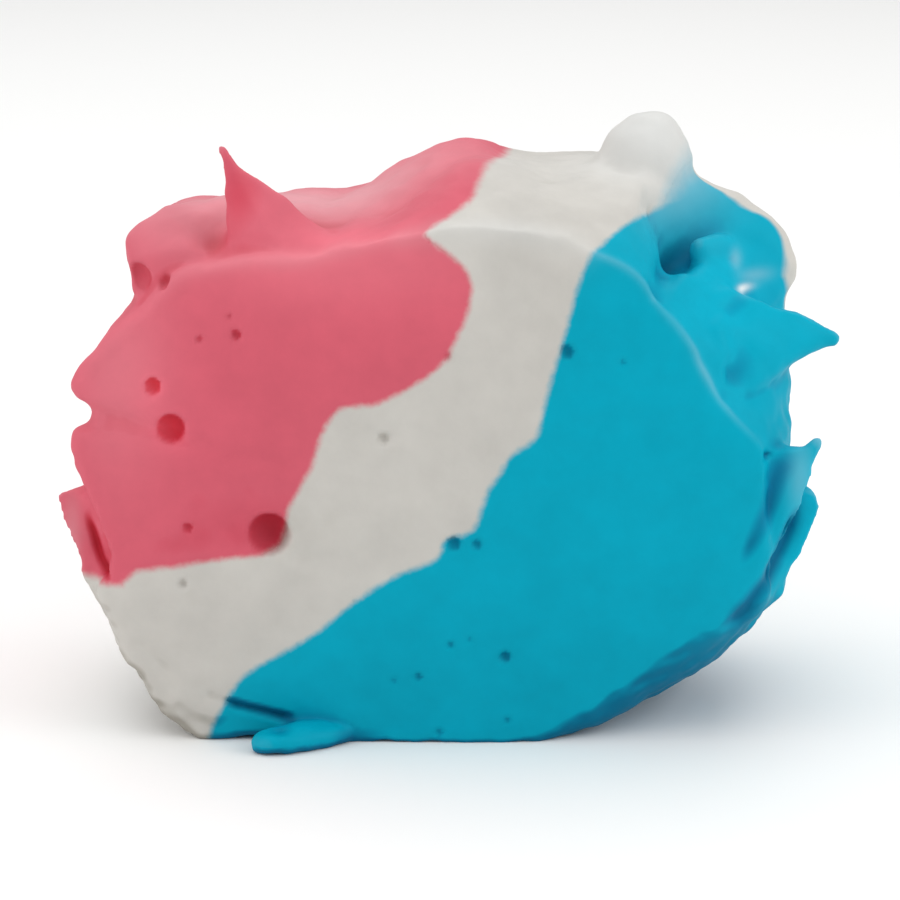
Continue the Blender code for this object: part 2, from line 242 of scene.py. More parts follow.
def add_mesh(
    name: str, points: np.ndarray, quads: np.ndarray, triangles: np.ndarray
) -> bpy.types.Object:
    """A mesh object from whole arrays of points, quads and triangles.

    Args:
        name: The object's name.
        points: One row for each vertex.
        quads: Four vertex numbers a row.
        triangles: Three vertex numbers a row.

    Returns:
        The new object, linked to the scene, with its faces turned outwards.
    """
    mesh = bpy.data.meshes.new(name)
    mesh.vertices.add(len(points))
    mesh.vertices.foreach_set("co", points.astype(np.float32).ravel())
    corners = np.concatenate([quads.ravel(), triangles.ravel()]).astype(np.int32)
    mesh.loops.add(len(corners))
    mesh.loops.foreach_set("vertex_index", corners)
    quad_starts = np.arange(len(quads)) * 4
    triangle_starts = quads.size + np.arange(len(triangles)) * 3
    mesh.polygons.add(len(quads) + len(triangles))
    starts = np.concatenate([quad_starts, triangle_starts]).astype(np.int32)
    mesh.polygons.foreach_set("loop_start", starts)
    mesh.update(calc_edges=True)
    mesh.validate()
    turn_outwards(mesh)
    return linked(name, mesh)


def read(items: bpy.types.bpy_prop_collection, what: str, kind: type = np.float32) -> np.ndarray:
    """One property of all the items of a mesh, as a flat array.

    Args:
        items: The mesh's vertices, edges or stored values.
        what: The property's name.
        kind: The type of its numbers.

    Returns:
        The numbers of the first item, then those of the second, and so on.
    """
    first = getattr(items[0], what)
    width = len(first) if hasattr(first, "__len__") else 1
    values = np.empty(len(items) * width, kind)
    items.foreach_get(what, values)
    return values


def read_points(mesh: bpy.types.Mesh) -> np.ndarray:
    """A mesh's vertices as an array of rows."""
    return read(mesh.vertices, "co").reshape(-1, 3).astype(float)


def read_normals(mesh: bpy.types.Mesh) -> np.ndarray:
    """A mesh's vertex normals as an array of rows."""
    return read(mesh.vertex_normals, "vector").reshape(-1, 3).astype(float)


def write_points(mesh: bpy.types.Mesh, points: np.ndarray) -> None:
    """Puts an array of rows back into a mesh's vertices."""
    mesh.vertices.foreach_set("co", points.astype(np.float32).ravel())
    mesh.update()


def write_attribute(mesh: bpy.types.Mesh, name: str, values: np.ndarray) -> None:
    """Stores one number for each vertex under a name that a material reads."""
    stored = mesh.attributes.new(name, "FLOAT", "POINT")
    stored.data.foreach_set("value", values.astype(np.float32))


def read_edges(mesh: bpy.types.Mesh) -> np.ndarray:
    """A mesh's edges as pairs of vertex numbers."""
    return read(mesh.edges, "vertices", np.int32).reshape(-1, 2)


def neighbour_mean(values: np.ndarray, edges: np.ndarray) -> np.ndarray:
    """The mean of each vertex's neighbours.

    Args:
        values: One row for each vertex.
        edges: Pairs of vertex numbers.

    Returns:
        One row for each vertex.
    """
    count = len(values)
    ends = np.concatenate([edges[:, 0], edges[:, 1]])
    others = np.concatenate([edges[:, 1], edges[:, 0]])
    share = np.maximum(np.bincount(ends, minlength=count), 1)
    sums = [np.bincount(ends, weights=column, minlength=count) for column in values[others].T]
    return np.stack([column / share for column in sums], axis=1)


def refill(mesh: bpy.types.Mesh, name: str, lost: np.ndarray) -> None:
    """Gives vertices that a cut has made their neighbours' mean value; the cut stores 0 there.

    Args:
        mesh: The mesh.
        name: The stored value's name.
        lost: Whether each vertex has lost its value.
    """
    data, edges = mesh.attributes[name].data, read_edges(mesh)
    values, known = read(data, "value"), (~lost).astype(float)
    for _ in range(3):
        near = neighbour_mean(np.stack([values * known, known], axis=1), edges)
        found = (known == 0) & (near[:, 1] > 0)
        values[found] = near[found, 0] / near[found, 1]
        known[found] = 1
    data.foreach_set("value", values)


def smoothed(mesh: bpy.types.Mesh, rounds: int, amount: np.ndarray | float) -> np.ndarray:
    """A mesh's vertices after each has moved some way towards its neighbours' mean.

    Args:
        mesh: The mesh, which stays as it is.
        rounds: How many times they move.
        amount: The share of the way, one number or one row for each vertex.

    Returns:
        The moved vertices.
    """
    points, edges = read_points(mesh), read_edges(mesh)
    for _ in range(rounds):
        points += (neighbour_mean(points, edges) - points) * amount
    return points


def apply_modifier(obj: bpy.types.Object, kind: str, **settings: object) -> None:
    """Adds one modifier, applies it and leaves the result as the object's mesh.

    Args:
        obj: The object to change.
        kind: The modifier's type.
        **settings: The modifier's properties.
    """
    modifier = obj.modifiers.new(kind.lower(), kind)
    for name, value in settings.items():
        setattr(modifier, name, value)
    graph = bpy.context.evaluated_depsgraph_get()
    graph.update()
    mesh = bpy.data.meshes.new_from_object(obj.evaluated_get(graph))
    obj.modifiers.clear()
    spent, obj.data = obj.data, mesh
    bpy.data.meshes.remove(spent)


def joined(name: str, objects: list[bpy.types.Object]) -> bpy.types.Object:
    """Puts the meshes of several objects into one, side by side, and removes the objects.

    Args:
        name: The new object's name.
        objects: What to join; their shapes may overlap.

    Returns:
        The object that holds them all.
    """
    together = bmesh.new()
    for obj in objects:
        together.from_mesh(obj.data)
    mesh = bpy.data.meshes.new(name)
    together.to_mesh(mesh)
    together.free()
    for obj in objects:
        discard(obj)
    return linked(name, mesh)


def discard(obj: bpy.types.Object) -> None:
    """Removes an object and its mesh."""
    mesh = obj.data
    bpy.data.objects.remove(obj)
    bpy.data.meshes.remove(mesh)


@dataclass
class Dent:
    """A smooth dent, pressed towards the rope's axis; a negative depth makes a swelling."""

    place: Point
    radii: Point
    depth: float


@dataclass
class Fold:
    """A fold of the skin: a fin where its line lies outside the skin, a furrow where inside.

    The line goes round the rope as (degrees, depth, radius). Before and behind it the skin
    falls off exponentially with depth, over front_reach and back_reach, from an edge rounded
    by edge. The edge curls forwards where curl is negative.
    """

    line: list[Point]
    front_reach: float
    back_reach: float
    edge: float = 0.25
    curl: float = 0.0
    fades: tuple[float, float] = (3.0, 3.0)

    def lift(
        self, degrees: np.ndarray, depth: np.ndarray, radius: np.ndarray
    ) -> tuple[np.ndarray, np.ndarray]:
        """Raises or sinks the skin to the fold's line.

        Args:
            degrees: The angle of each column.
            depth: Depth of each row and column of the skin.
            radius: Its radius.

        Returns:
            The new depth and radius.
        """
        line = spline(self.line, np.linspace(0, 1, 400))
        start, end = line[0, 0], line[-1, 0]
        at = np.mod(degrees - start, 360.0) + start
        line_depth, line_radius = (np.interp(at, line[:, 0], line[:, i]) for i in (1, 2))
        begins = smoothstep(start, start + self.fades[0], at)
        ends = 1 - smoothstep(end - self.fades[1], end, at)
        away = depth - line_depth
        nearest = np.abs(away).argmin(axis=0)[None]
        height = line_radius - np.take_along_axis(radius, nearest, axis=0)[0]
        reach = np.where(away < 0, self.front_reach, self.back_reach)
        rounded_by = self.edge / reach
        fall = np.sqrt((away / reach) ** 2 + rounded_by**2) - rounded_by
        share = np.exp(-fall) * begins * ends * smoothstep(0, 0.5, depth - depth[:1])
        return depth + self.curl * share, radius + height * share


class Part(Enum):
    """The parts of a meridian of the cut rope, from front to back."""

    FRONT_CUT = "front cut"
    FRONT_CORNER = "front corner"
    SKIN = "skin"
    BACK_CORNER = "back corner"
    BACK_CUT = "back cut"


@dataclass
class CutRope:
    """The bare sweet: a short length of rope between two knife cuts.

    Each ring field is a list of (degrees, millimetres) round the rope's axis, where 0 points
    along +X and 90 points up.
    """

    thickness: float = 17.0
    axis_height: float = 11.6
    front_edge: list[Knot] = kept(
        (3.7, 14.9), (8, 15.0), (13.2, 14.2), (18.6, 13.5), (23.6, 13.25), (28, 13.2), (32, 13.3),
        (41, 13.2), (50, 13.5), (60, 13.2), (70, 13.0), (84, 12.6), (96, 12.3), (108, 12.3),
        (120, 12.8), (128, 13.9), (132.5, 14.6), (139.6, 15.6), (144.8, 15.9), (150, 16.2),
        (154, 16.55), (158.5, 17.1), (161.7, 17.38), (163.6, 17.5), (165.2, 17.25), (165.9, 16.75),
        (166.8, 16.4), (168.2, 16.3), (169.4, 16.4), (170.1, 16.85), (171.3, 17.02), (173, 16.95),
        (176, 16.65), (179.5, 16.3), (185.5, 15.75), (191, 15.5), (194, 15.9), (197, 16.5),
        (201, 16.4), (205, 16.35), (209, 16.6), (213, 16.45), (219, 16.45), (225, 16.3),
        (228, 15.7), (232, 14.5), (240, 13.5), (252, 12.5), (263, 12.1), (275, 12.2), (285, 12.5),
        (298, 13.0), (311, 13.7), (322, 14.85), (330, 15.15), (335, 15.6), (340, 15.9),
        (345, 15.7), (352, 15.1), (358, 14.8),
    )
    back_edge: list[Knot] = kept(
        (0, 15.0), (30, 15.6), (60, 14.4), (82, 12.6), (94, 12.0), (104, 11.6), (112, 11.6), (119, 12.3),
        (132, 14.4), (150, 15.8), (180, 15.6), (215, 14.9), (245, 12.6), (270, 11.9),
        (300, 12.6), (330, 14.4),
    )
    flare: list[Knot] = kept(
        (0, 1.35), (14, 1.85), (27, 2.5), (40, 2.6), (52, 2.7), (62, 2.2), (70, 1.6), (78, 2.05),
        (84, 2.45), (91, 2.2), (98, 1.65), (105, 1.4), (112, 1.5), (118, 1.75), (125, 1.7),
        (133, 2.0), (140, 1.8), (146, 0.8), (151, 0.2), (157, -0.4), (175, -0.6), (190, 0.4), (205, 0.8),
        (225, 0.8), (250, 0.4), (275, 0.2), (300, 0.9), (318, 1.5), (335, 1.5),
    )
    front_corner: list[Knot] = kept(
        (8, 0.6), (28, 0.35), (50, 0.2), (75, 0.22), (112, 0.3), (122, 0.5), (135, 0.9), (150, 0.9),
        (178, 0.7), (188, 0.5), (200, 0.8), (225, 0.7), (250, 0.5), (270, 0.5), (285, 0.6),
        (298, 1.0), (311, 1.6), (322, 2.3), (330, 1.9), (336, 1.4), (343, 0.9), (355, 0.7),
    )
    front_bevel: list[Knot] = kept((240, 0.0), (280, 0.2), (295, 0.5), (335, 0.5), (350, 0.0))
    back_corner: float = 0.9
    front_crown: list[Knot] = kept(
        (0, 0.6), (60, 0.3), (115, 0.3), (150, 1.7), (170, 1.6), (210, 0.8), (270, 0.2), (330, 0.5),
    )
    back_crown: float = 0.9
    folds: list[Fold] = kept(
        # The tall pulled peak: a sheet with an upright left side, which runs out to the right
        Fold(
            [(109, 2.3, 12.7), (112, 2.4, 13.0), (114.2, 2.4, 13.4), (116, 2.5, 14.1), (117.4, 2.6, 15.0),
             (119, 2.7, 16.1), (120.6, 2.8, 16.9), (121.6, 2.9, 17.7), (122.4, 2.9, 18.4), (124.3, 2.7, 17.1),
             (127.3, 2.5, 15.8), (131, 2.3, 14.7), (136, 2.2, 14.4)],
            0.75, 0.75, edge=0.2, fades=(3.0, 4.0),
        ),
        # The hollow at the upper right, between the flange and the big fold behind it
        Fold(
            [(18, 6.0, 16.4), (26, 6.0, 16.0), (31, 5.9, 15.7), (35, 5.8, 15.4), (38, 5.8, 15.1),
             (39.6, 6.0, 14.4), (40.8, 6.2, 13.4), (42, 6.3, 13.0), (43.5, 6.2, 13.3), (45.5, 6.0, 14.0),
             (48, 5.8, 14.6), (51, 5.5, 15.1), (54, 5.2, 15.4), (57, 5.0, 15.6)],
            2.2, 1.0, edge=0.6, fades=(5.0, 5.0),
        ),
        # The big fold
        Fold(
            [(16, 7.1, 16.6), (20, 7.3, 16.8), (24.2, 7.6, 17.4), (27, 7.8, 18.3), (29.2, 7.9, 18.85),
             (31.8, 8.0, 19.1), (34.2, 8.0, 19.15), (36.7, 8.1, 19.0), (40.1, 8.2, 18.58), (43.5, 8.3, 18.15),
             (46.4, 8.5, 18.0), (50, 8.7, 17.7), (55, 9.0, 17.0), (60, 9.0, 16.2)],
            1.0, 2.6, edge=1.0, fades=(4.0, 6.0),
        ),
        # A small lobe between the hollow and the big fold
        Fold(
            [(29, 5.6, 15.8), (33, 5.6, 16.1), (36, 5.5, 16.2), (39, 5.5, 15.9), (40.6, 5.5, 15.5)],
            0.7, 0.5, edge=0.3, fades=(5.0, 1.5),
        ),
        # The flange in front of it, a sheet that runs up from the cut's edge to a pointed tip
        Fold(
            [(-2, 5.0, 15.9), (5.2, 5.0, 16.2), (10.8, 5.0, 16.45), (15, 5.0, 16.7), (17, 5.0, 16.9),
             (17.9, 5.0, 18.0), (18.8, 4.9, 19.1), (19.8, 4.8, 19.5), (21.2, 4.5, 19.0), (23.5, 4.3, 18.5),
             (27, 4.1, 17.5), (30.3, 4.0, 16.6), (33.4, 3.9, 15.9), (36.5, 3.8, 15.3), (40.9, 3.6, 14.7),
             (43.4, 3.4, 14.0), (48, 3.0, 13.7)],
            1.7, 0.6, edge=0.3, fades=(6.0, 4.0),
        ),
        # Two thin leaves that have peeled off the right side
        Fold(
            [(-20, 1.7, 15.3), (-12.8, 1.8, 15.4), (-8.3, 1.8, 15.7), (-4, 1.8, 16.15), (1.1, 1.8, 16.65),
             (4.7, 1.7, 16.95), (6.8, 1.7, 17.1), (7.9, 1.7, 17.0)],
            0.45, 0.4, edge=0.2, curl=-0.3, fades=(7.0, 1.2),
        ),
        Fold(
            [(-30, 3.1, 15.9), (-24.6, 3.4, 16.1), (-22.5, 3.5, 16.35), (-19, 3.5, 16.75),
             (-16.2, 3.5, 16.75),
             (-11.5, 3.5, 16.95), (-8, 3.5, 17.2), (-4.7, 3.5, 17.45), (-3.1, 3.5, 17.4), (-1.5, 3.5, 17.15),
             (-0.2, 3.5, 16.7)],
            0.4, 0.8, edge=0.22, curl=-0.3, fades=(6.0, 1.4),
        ),
        # The rim's upper left corner
        Fold(
            [(130, 4.6, 16.6), (134, 4.4, 17.3), (138, 4.2, 17.75), (141.5, 4.0, 18.1), (143.4, 4.0, 17.85),
             (145.6, 3.9, 17.2), (148, 3.8, 16.7), (152, 3.6, 16.2)],
            1.6, 2.6, edge=0.8, fades=(6.0, 5.0),
        ),
        # The thin leaf at the left
        Fold(
            [(180.2, 3.3, 17.1), (181.4, 3.3, 17.6), (184, 3.3, 17.5), (188.3, 3.3, 17.2),
             (191.7, 3.2, 16.95),
             (196.2, 3.1, 17.0), (204, 3.0, 16.8)],
            0.4, 0.4, edge=0.2, curl=-0.3, fades=(1.5, 7.0),
        ),
    )
    dents: list[Dent] = kept(
        Dent((13.6, 2.2, 17.2), (0.85, 1.8, 1.1), 0.9),
        Dent((13.4, 3.4, 19.7), (0.75, 1.0, 0.5), 0.5),
        Dent((-10.6, 3.3, 22.8), (0.6, 0.9, 0.6), 0.6),
        Dent((-14.2, 3.0, 20.4), (0.9, 2.4, 0.7), 0.4),
        Dent((-5.6, 3.4, 23.2), (1.2, 1.2, 1.2), 0.4),
        Dent((-4.0, 5.5, 24.2), (3.0, 3.0, 3.0), 0.4),
        Dent((-15.0, 11.5, 16.0), (2.6, 2.6, 2.6), 0.8),
        Dent((12.0, 13.5, 20.0), (2.8, 2.8, 2.8), 0.9),
    )
    # Each wave's height, folds round the rope, radians along it and phase
    paper: list[tuple] = kept(
        (0.16, 5, 8.2, 0.6), (0.12, 9, -5.7, 2.1), (0.09, 14, 10.7, 4.0), (0.05, 23, 16.3, 1.2)
    )
    around: int = 900
    face_rows: int = 70
    corner_rows: int = 14
    skin_rows: int = 220

    def points(self, degrees: np.ndarray, part: Part, t: np.ndarray) -> np.ndarray:
        """Points of one part of the surface.

        Along a meridian from the front cut's middle to the back cut's, the radius grows evenly
        over the cut, turns a quarter circle or a bevel at the corner, bulges over the skin as
        a parabola with the paper's folds on it, and comes back over the far corner and cut.
        On the skin it goes from the front edge to the back edge evenly. The front edge's
        detail, what it has beyond its own mean over 16 degrees, dies out as (1 - t) ** 5.

        Args:
            degrees: The angle of each column.
            part: Which part of the meridian.
            t: Places on that part, 0 to 1, one for each row.

        Returns:
            Points of shape (rows, columns, 3).
        """
        front, back = ring(self.front_edge, degrees), ring(self.back_edge, degrees)
        corner, crown = ring(self.front_corner, degrees), ring(self.front_crown, degrees)
        skin_length = self.thickness - crown - corner - self.back_corner - self.back_crown
        t = t[:, None]
        turn = t * math.pi / 2
        level = np.ones_like(front)
        if part is Part.FRONT_CUT:
            radius, depth = (front - corner) * t, crown * t**3
        elif part is Part.FRONT_CORNER:
            bevel = ring(self.front_bevel, degrees)
            radius = front - corner + corner * ((1 - bevel) * np.sin(turn) + bevel * t)
            depth = crown + corner * ((1 - bevel) * (1 - np.cos(turn)) + bevel * t)
        elif part is Part.SKIN:
            bulge = 1 - (2 * t - 1) ** 2
            shifts = np.linspace(-8, 8, 9)
            plain = np.mean([ring(self.front_edge, degrees + shift) for shift in shifts], axis=0)
            radius = plain + (back - plain) * t + (front - plain) * (1 - t) ** 5
            radius = radius + (ring(self.flare, degrees) + self.paper_folds(degrees, t)) * bulge
            depth = crown + corner + skin_length * t
            for fold in self.folds:
                depth, radius = fold.lift(degrees, depth, radius)
        elif part is Part.BACK_CORNER:
            radius = back - self.back_corner * (1 - np.cos(turn))
            depth = (self.thickness - self.back_crown - self.back_corner * (1 - np.sin(turn))) * level
        else:
            radius = (back - self.back_corner) * (1 - t)
            depth = (self.thickness - self.back_crown * (1 - t) ** 3) * level
        angle = np.radians(degrees)
        return np.stack([radius * np.cos(angle), depth, self.axis_height + radius * np.sin(angle)], axis=-1)

    def paper_folds(self, degrees: np.ndarray, t: np.ndarray) -> np.ndarray:
        """Long shallow folds that the twisted paper pressed into the skin: slanting waves."""
        angle = np.radians(degrees)
        waves = ((high, folds * angle + along * t + phase) for high, folds, along, phase in self.paper)
        return sum(high * np.sin(turn) for high, turn in waves)

    def pressed(self, points: np.ndarray) -> np.ndarray:
        """Presses the dents in, bell-shaped, and flattens the foot that the sweet stands on.

        Args:
            points: Points of the surface, one row each.

        Returns:
            The points, moved.
        """
        for dent in self.dents:
            away = ((points - np.array(dent.place)) / np.array(dent.radii)) ** 2
            amount = dent.depth * np.exp(-away.sum(axis=1))
            inward = unit(np.array([0, 0, self.axis_height]) - points * np.array([1, 0, 1]))
            points = points + inward * amount[:, None]
        points[:, 2] = np.maximum(points[:, 2], 0.0)
        return points

    def surface(self) -> bpy.types.Object:
        """The whole bare sweet as one closed grid."""
        degrees = np.arange(self.around) * 360.0 / self.around
        rows = {
            Part.FRONT_CUT: np.linspace(0.004, 1, self.face_rows, endpoint=False),
            Part.FRONT_CORNER: np.linspace(0, 1, self.corner_rows, endpoint=False),
            Part.SKIN: np.linspace(0, 1, self.skin_rows, endpoint=False),
            Part.BACK_CORNER: np.linspace(0, 1, self.corner_rows, endpoint=False),
            Part.BACK_CUT: np.linspace(0, 0.996, self.face_rows),
        }
        grid = np.concatenate([self.points(degrees, part, places) for part, places in rows.items()])
        return closed_surface("rope", self.pressed(grid.reshape(-1, 3)).reshape(grid.shape))

    def edge_line(self, first: float, last: float, count: int = 60) -> np.ndarray:
        """The front cut's edge as a line of points between two angles."""
        degrees = np.linspace(first, last, count)
        return self.points(degrees, Part.FRONT_CORNER, np.array([0.6]))[0]

    def cut_depth(self, x: float, height: float) -> float:
        """Depth of the front cut's surface at a place on it."""
        up = height - self.axis_height
        degrees = np.array([math.degrees(math.atan2(up, x))])
        edge = ring(self.front_edge, degrees) - ring(self.front_corner, degrees)
        return float((ring(self.front_crown, degrees) * (math.hypot(x, up) / edge) ** 3)[0])


@dataclass
class Pull:
    """Taffy drawn out of the skin: a peak, a leaf or a lip.

    Its section is an ellipse with a bowed middle, carried along a smooth path. The first point
    lies inside the sweet. facing is the way that the section's thin side looks.
    """

    name: str
    path: list[Point]
    half_widths: list[float]
    half_depths: list[float]
    facing: Point = (0.0, 1.0, 0.0)
    bow: float = 0.0
    round_root: float = 0.06
    round_tip: float = 0.06
    around: int = 48
    rows: int = 72

    def surface(self) -> bpy.types.Object:
        """The pull as a closed grid: angle round the section, and place along the path.

        At a place t the section's centre is the path's spline; its width runs square to the
        path and to facing, its depth square to both, and both shrink as a circle does near the
        two ends.
        """
        t = 0.5 * (1 - np.cos(np.linspace(0.002, 0.998, self.rows) * math.pi))
        centre = spline(self.path, t)
        ahead = unit(spline(self.path, t + 0.004) - spline(self.path, t - 0.004))
        wide = unit(np.cross(np.array(self.facing, float), ahead))
        deep = np.cross(ahead, wide)
        near_root = np.minimum(t / self.round_root, 1)
        near_tip = np.minimum((1 - t) / self.round_tip, 1)
        closing = np.sqrt(1 - (1 - near_root) ** 2) * np.sqrt(1 - (1 - near_tip) ** 2)
        width = spline(self.half_widths, t)[:, 0] * closing
        depth = spline(self.half_depths, t)[:, 0] * closing
        turn = np.linspace(0, 2 * math.pi, self.around, endpoint=False)
        across = np.cos(turn)[None, :, None] * (width[:, None] * wide)[:, None, :]
        bowed = np.sin(turn)[None] * depth[:, None] + self.bow * width[:, None] * (np.cos(turn)[None] ** 2)
        grid = centre[:, None, :] + across + bowed[..., None] * deep[:, None, :]
        grid[..., 2] = np.maximum(grid[..., 2], 0.0)
        return closed_surface(self.name, grid)


@dataclass
class Crease:
    """A groove along a smooth path, or a raised ridge where depth is negative.

    Its path is (x, height) points on the front of the sweet, and it is pressed into what faces
    the front, up to the depth behind. shade is painted shade: how much deeper its colour is
    painted where shade falls in the groove. It fades out over the share fade of its path at each
    end, and its width grows by widening along it.
    """

    path: list[Knot]
    width: float
    depth: float
    shade: float = 0.0
    widening: float = 0.0
    behind: float = 3.0
    fade: float = 0.25

    def press(self, points: np.ndarray, normals: np.ndarray) -> np.ndarray:
        """Moves points near the path inwards, with a bell-shaped cross-section.

        They move between straight back and square to the surface.

        Args:
            points: All vertices, changed in place.
            normals: Their normals.

        Returns:
            How much deeper each vertex's colour is painted, as the shade in the groove.
        """
        line = spline(self.path, np.linspace(0, 1, 60))
        low, high = line.min(axis=0) - 4 * self.width, line.max(axis=0) + 4 * self.width
        flat = points[:, [0, 2]]
        near = np.all((flat > low) & (flat < high), axis=1) & (points[:, 1] < self.behind)
        away, along = to_line(flat[near], line)
        share = np.zeros(len(points))
        ends = smoothstep(0, self.fade, along) * smoothstep(0, self.fade, 1 - along)
        ends *= smoothstep(self.behind, self.behind - 2.0, points[near, 1])
        width = self.width * (1 + self.widening * (along - 0.5))
        share[near] = np.exp(-((away / width) ** 2)) * ends
        amount = self.depth * share * smoothstep(0.2, -0.3, normals[:, 1])
        points += unit(np.array([0.0, 1.0, 0.0]) - normals + 1e-9) * amount[:, None]
        # Painted shade in the groove
        return self.shade * share


@dataclass
class Border:
    """Where two stripes meet.

    The line is its (x, height) points on the front cut, from top to bottom. The border's top
    leans to the right by lean millimetres at mid depth, growing with depth to the given power
    and with height to the power rise. Behind mid depth it leans by back_lean more, nearly all
    of it within wrap millimetres, where one stripe wraps round the other. Mid depth itself
    grows by mid_rise for each millimetre of height, from least_middle up. softness is half the
    width over which the colours run together at the front cut, and how much that grows for
    each millimetre of depth behind blur_from.
    """

    line: list[Knot]
    lean: float
    power: float
    back_lean: float
    wrap: float
    softness: tuple[float, float]
    mid_depth: float = 8.3
    mid_rise: float = 0.0
    least_middle: float = 5.0
    blur_from: float = 0.4
    rise: float = 1.2
    lean_heights: tuple[float, float] = (6.0, 24.0)
    foot: float = -6.0
    outside: float = 40.0

    def shift(self, depth: np.ndarray, height: np.ndarray) -> np.ndarray:
        """How far the border lies to the right of its line.

        Args:
            depth: Depths behind the front cut.
            height: Heights above the floor.

        Returns:
            Millimetres at each depth and height.
        """
        low, high = self.lean_heights
        share = np.clip((height - low) / (high - low), 0, 1)
        middle = np.maximum(self.mid_depth + self.mid_rise * (height - 24.6), self.least_middle)
        lean = self.lean * (np.clip(depth, 0, middle) / middle) ** self.power
        behind = np.maximum(depth - middle, 0)
        return share**self.rise * lean + share**1.2 * self.back_lean * (1 - np.exp(-behind / self.wrap))

    def outline(self, outward: int, count: int, off: float = 0.0) -> np.ndarray:
        """The border's line on the front cut, closed round one side of it by three far corners.

        Args:
            outward: -1 for the block on the border's upper left, 1 for its lower right.
            count: How many points the line has.
            off: How far the line moves into its own side.

        Returns:
            The points (x, height), the line's count points first.
        """
        line = spline(self.line, np.linspace(0, 1, count))
        across = np.gradient(line, axis=0)
        line = line + unit(np.stack([-across[:, 1], across[:, 0]], axis=1)) * outward * off
        foot = self.foot if outward > 0 else line[-1, 1] + 0.5
        far = outward * self.outside
        corners = [(line[-1, 0] + outward, foot), (far, foot), (far, line[0, 1] + 0.5)]
        return np.vstack([line, corners])

    def side(self, points: np.ndarray) -> np.ndarray:
        """Signed distance to the border: negative on its upper left, positive on its lower right.

        The sign comes from how often a ray to the right crosses the upper left side's outline.

        Args:
            points: One row each.

        Returns:
            The distance of each point, in millimetres.
        """
        flat = np.stack([points[:, 0] - self.shift(points[:, 1], points[:, 2]), points[:, 2]], axis=1)
        outline = self.outline(-1, 160)
        away, _ = to_line(flat, outline[:160])
        following = np.roll(outline, -1, axis=0)
        crossings = np.zeros(len(flat), int)
        for (x0, z0), (x1, z1) in zip(outline, following):
            if z0 == z1:
                continue
            spans = (flat[:, 1] >= min(z0, z1)) & (flat[:, 1] < max(z0, z1))
            crossings += spans & (flat[:, 0] < x0 + (flat[:, 1] - z0) * (x1 - x0) / (z1 - z0))
        return np.where(crossings % 2 == 1, -away, away)

    def blur(self, points: np.ndarray) -> np.ndarray:
        """Half the width over which the two colours run together.

        It grows with depth, and comes back to that of the cut before the back cut is reached.

        Args:
            points: One row each.

        Returns:
            The half width at each point, in millimetres.
        """
        least, growth = self.softness
        grown = growth * np.clip(points[:, 1] - self.blur_from, 0, 4)
        return least + grown * smoothstep(12.5, 9.5, points[:, 1])

    def zone(self, name: str, outward: int, gap: float) -> bpy.types.Object:
        """A closed block that fills one side of the border.

        Each depth's row is the side's outline, shifted for its depth and moved off by half
        the gap.

        Args:
            name: The object's name.
            outward: -1 for the block on the border's upper left, 1 for its lower right.
            gap: Distance between the two blocks of one border.

        Returns:
            The block.
        """
        outline = self.outline(outward, 300, gap / 2)
        depths = np.concatenate([[-6.0], np.linspace(0.0, 17.0, 60), [23.0]])
        rows = np.repeat(np.insert(outline, 1, 0.0, axis=1)[None], len(depths), axis=0)
        rows[..., 1] = depths[:, None]
        held = np.clip(depths, 0, 17)[:, None]
        rows[:, :300, 0] += self.shift(held, outline[None, :300, 1])
        return prism(name, rows)


def prism(name: str, rows: np.ndarray) -> bpy.types.Object:
    """A closed block lofted through like outlines, whose two ends are filled.

    Args:
        name: The object's name.
        rows: Outlines of points, shape (outlines, around, 3).

    Returns:
        The block, all triangles, linked to the scene.
    """
    count, around = rows.shape[:2]
    mesh = bpy.data.meshes.new(name)
    ends = [list(range(around)), list(range((count - 1) * around, count * around))]
    mesh.from_pydata(rows.reshape(-1, 3).tolist(), [], grid_quads(count, around).tolist() + ends)
    turn_outwards(mesh, split=True)
    return linked(name, mesh)


@dataclass
class Bubble:
    """An air bubble that a cut or a tear has opened.

    Its middle is at place and inward points into the taffy. shade is how much deeper its colour is
    painted than the cut's, as the shade inside the bubble, where that is fullest.
    """

    place: Point
    radius: float
    inward: Point = (0.0, 1.0, 0.0)
    shade: float = 0.85

    def press(self, points: np.ndarray) -> np.ndarray:
        """Moves the surface inside the bubble onto its far wall, half a ball.

        A point at distance d from the bubble's axis goes to the depth of the ball's wall there,
        the square root of radius ** 2 - d ** 2.

        Args:
            points: All vertices.

        Returns:
            The vertices with the bubble pressed in.
        """
        inward = unit(np.array(self.inward, float))
        away = points - np.array(self.place)
        depth = away @ inward
        aside = np.linalg.norm(away - depth[:, None] * inward, axis=1)
        inside = (aside < self.radius) & (np.abs(depth) < 1.6 * self.radius)
        wall = np.sqrt(np.maximum(self.radius**2 - aside**2, 0))
        points[inside] += inward * np.maximum(wall - depth, 0)[inside, None]
        return points

    def painted_shade_inside(self, points: np.ndarray) -> np.ndarray:
        """Painted shade inside the bubble: how much deeper each point's colour gets, most at its upper right.

        Args:
            points: All vertices.

        Returns:
            A number for each, up to shade.
        """
        away = points - np.array(self.place)
        inside = smoothstep(1.02 * self.radius, 0.8 * self.radius, np.linalg.norm(away, axis=1))
        across = away @ np.array([0.8, 0.0, 0.6]) / self.radius
        return self.shade * inside * (0.45 + 0.55 * smoothstep(-0.8, 0.3, across))


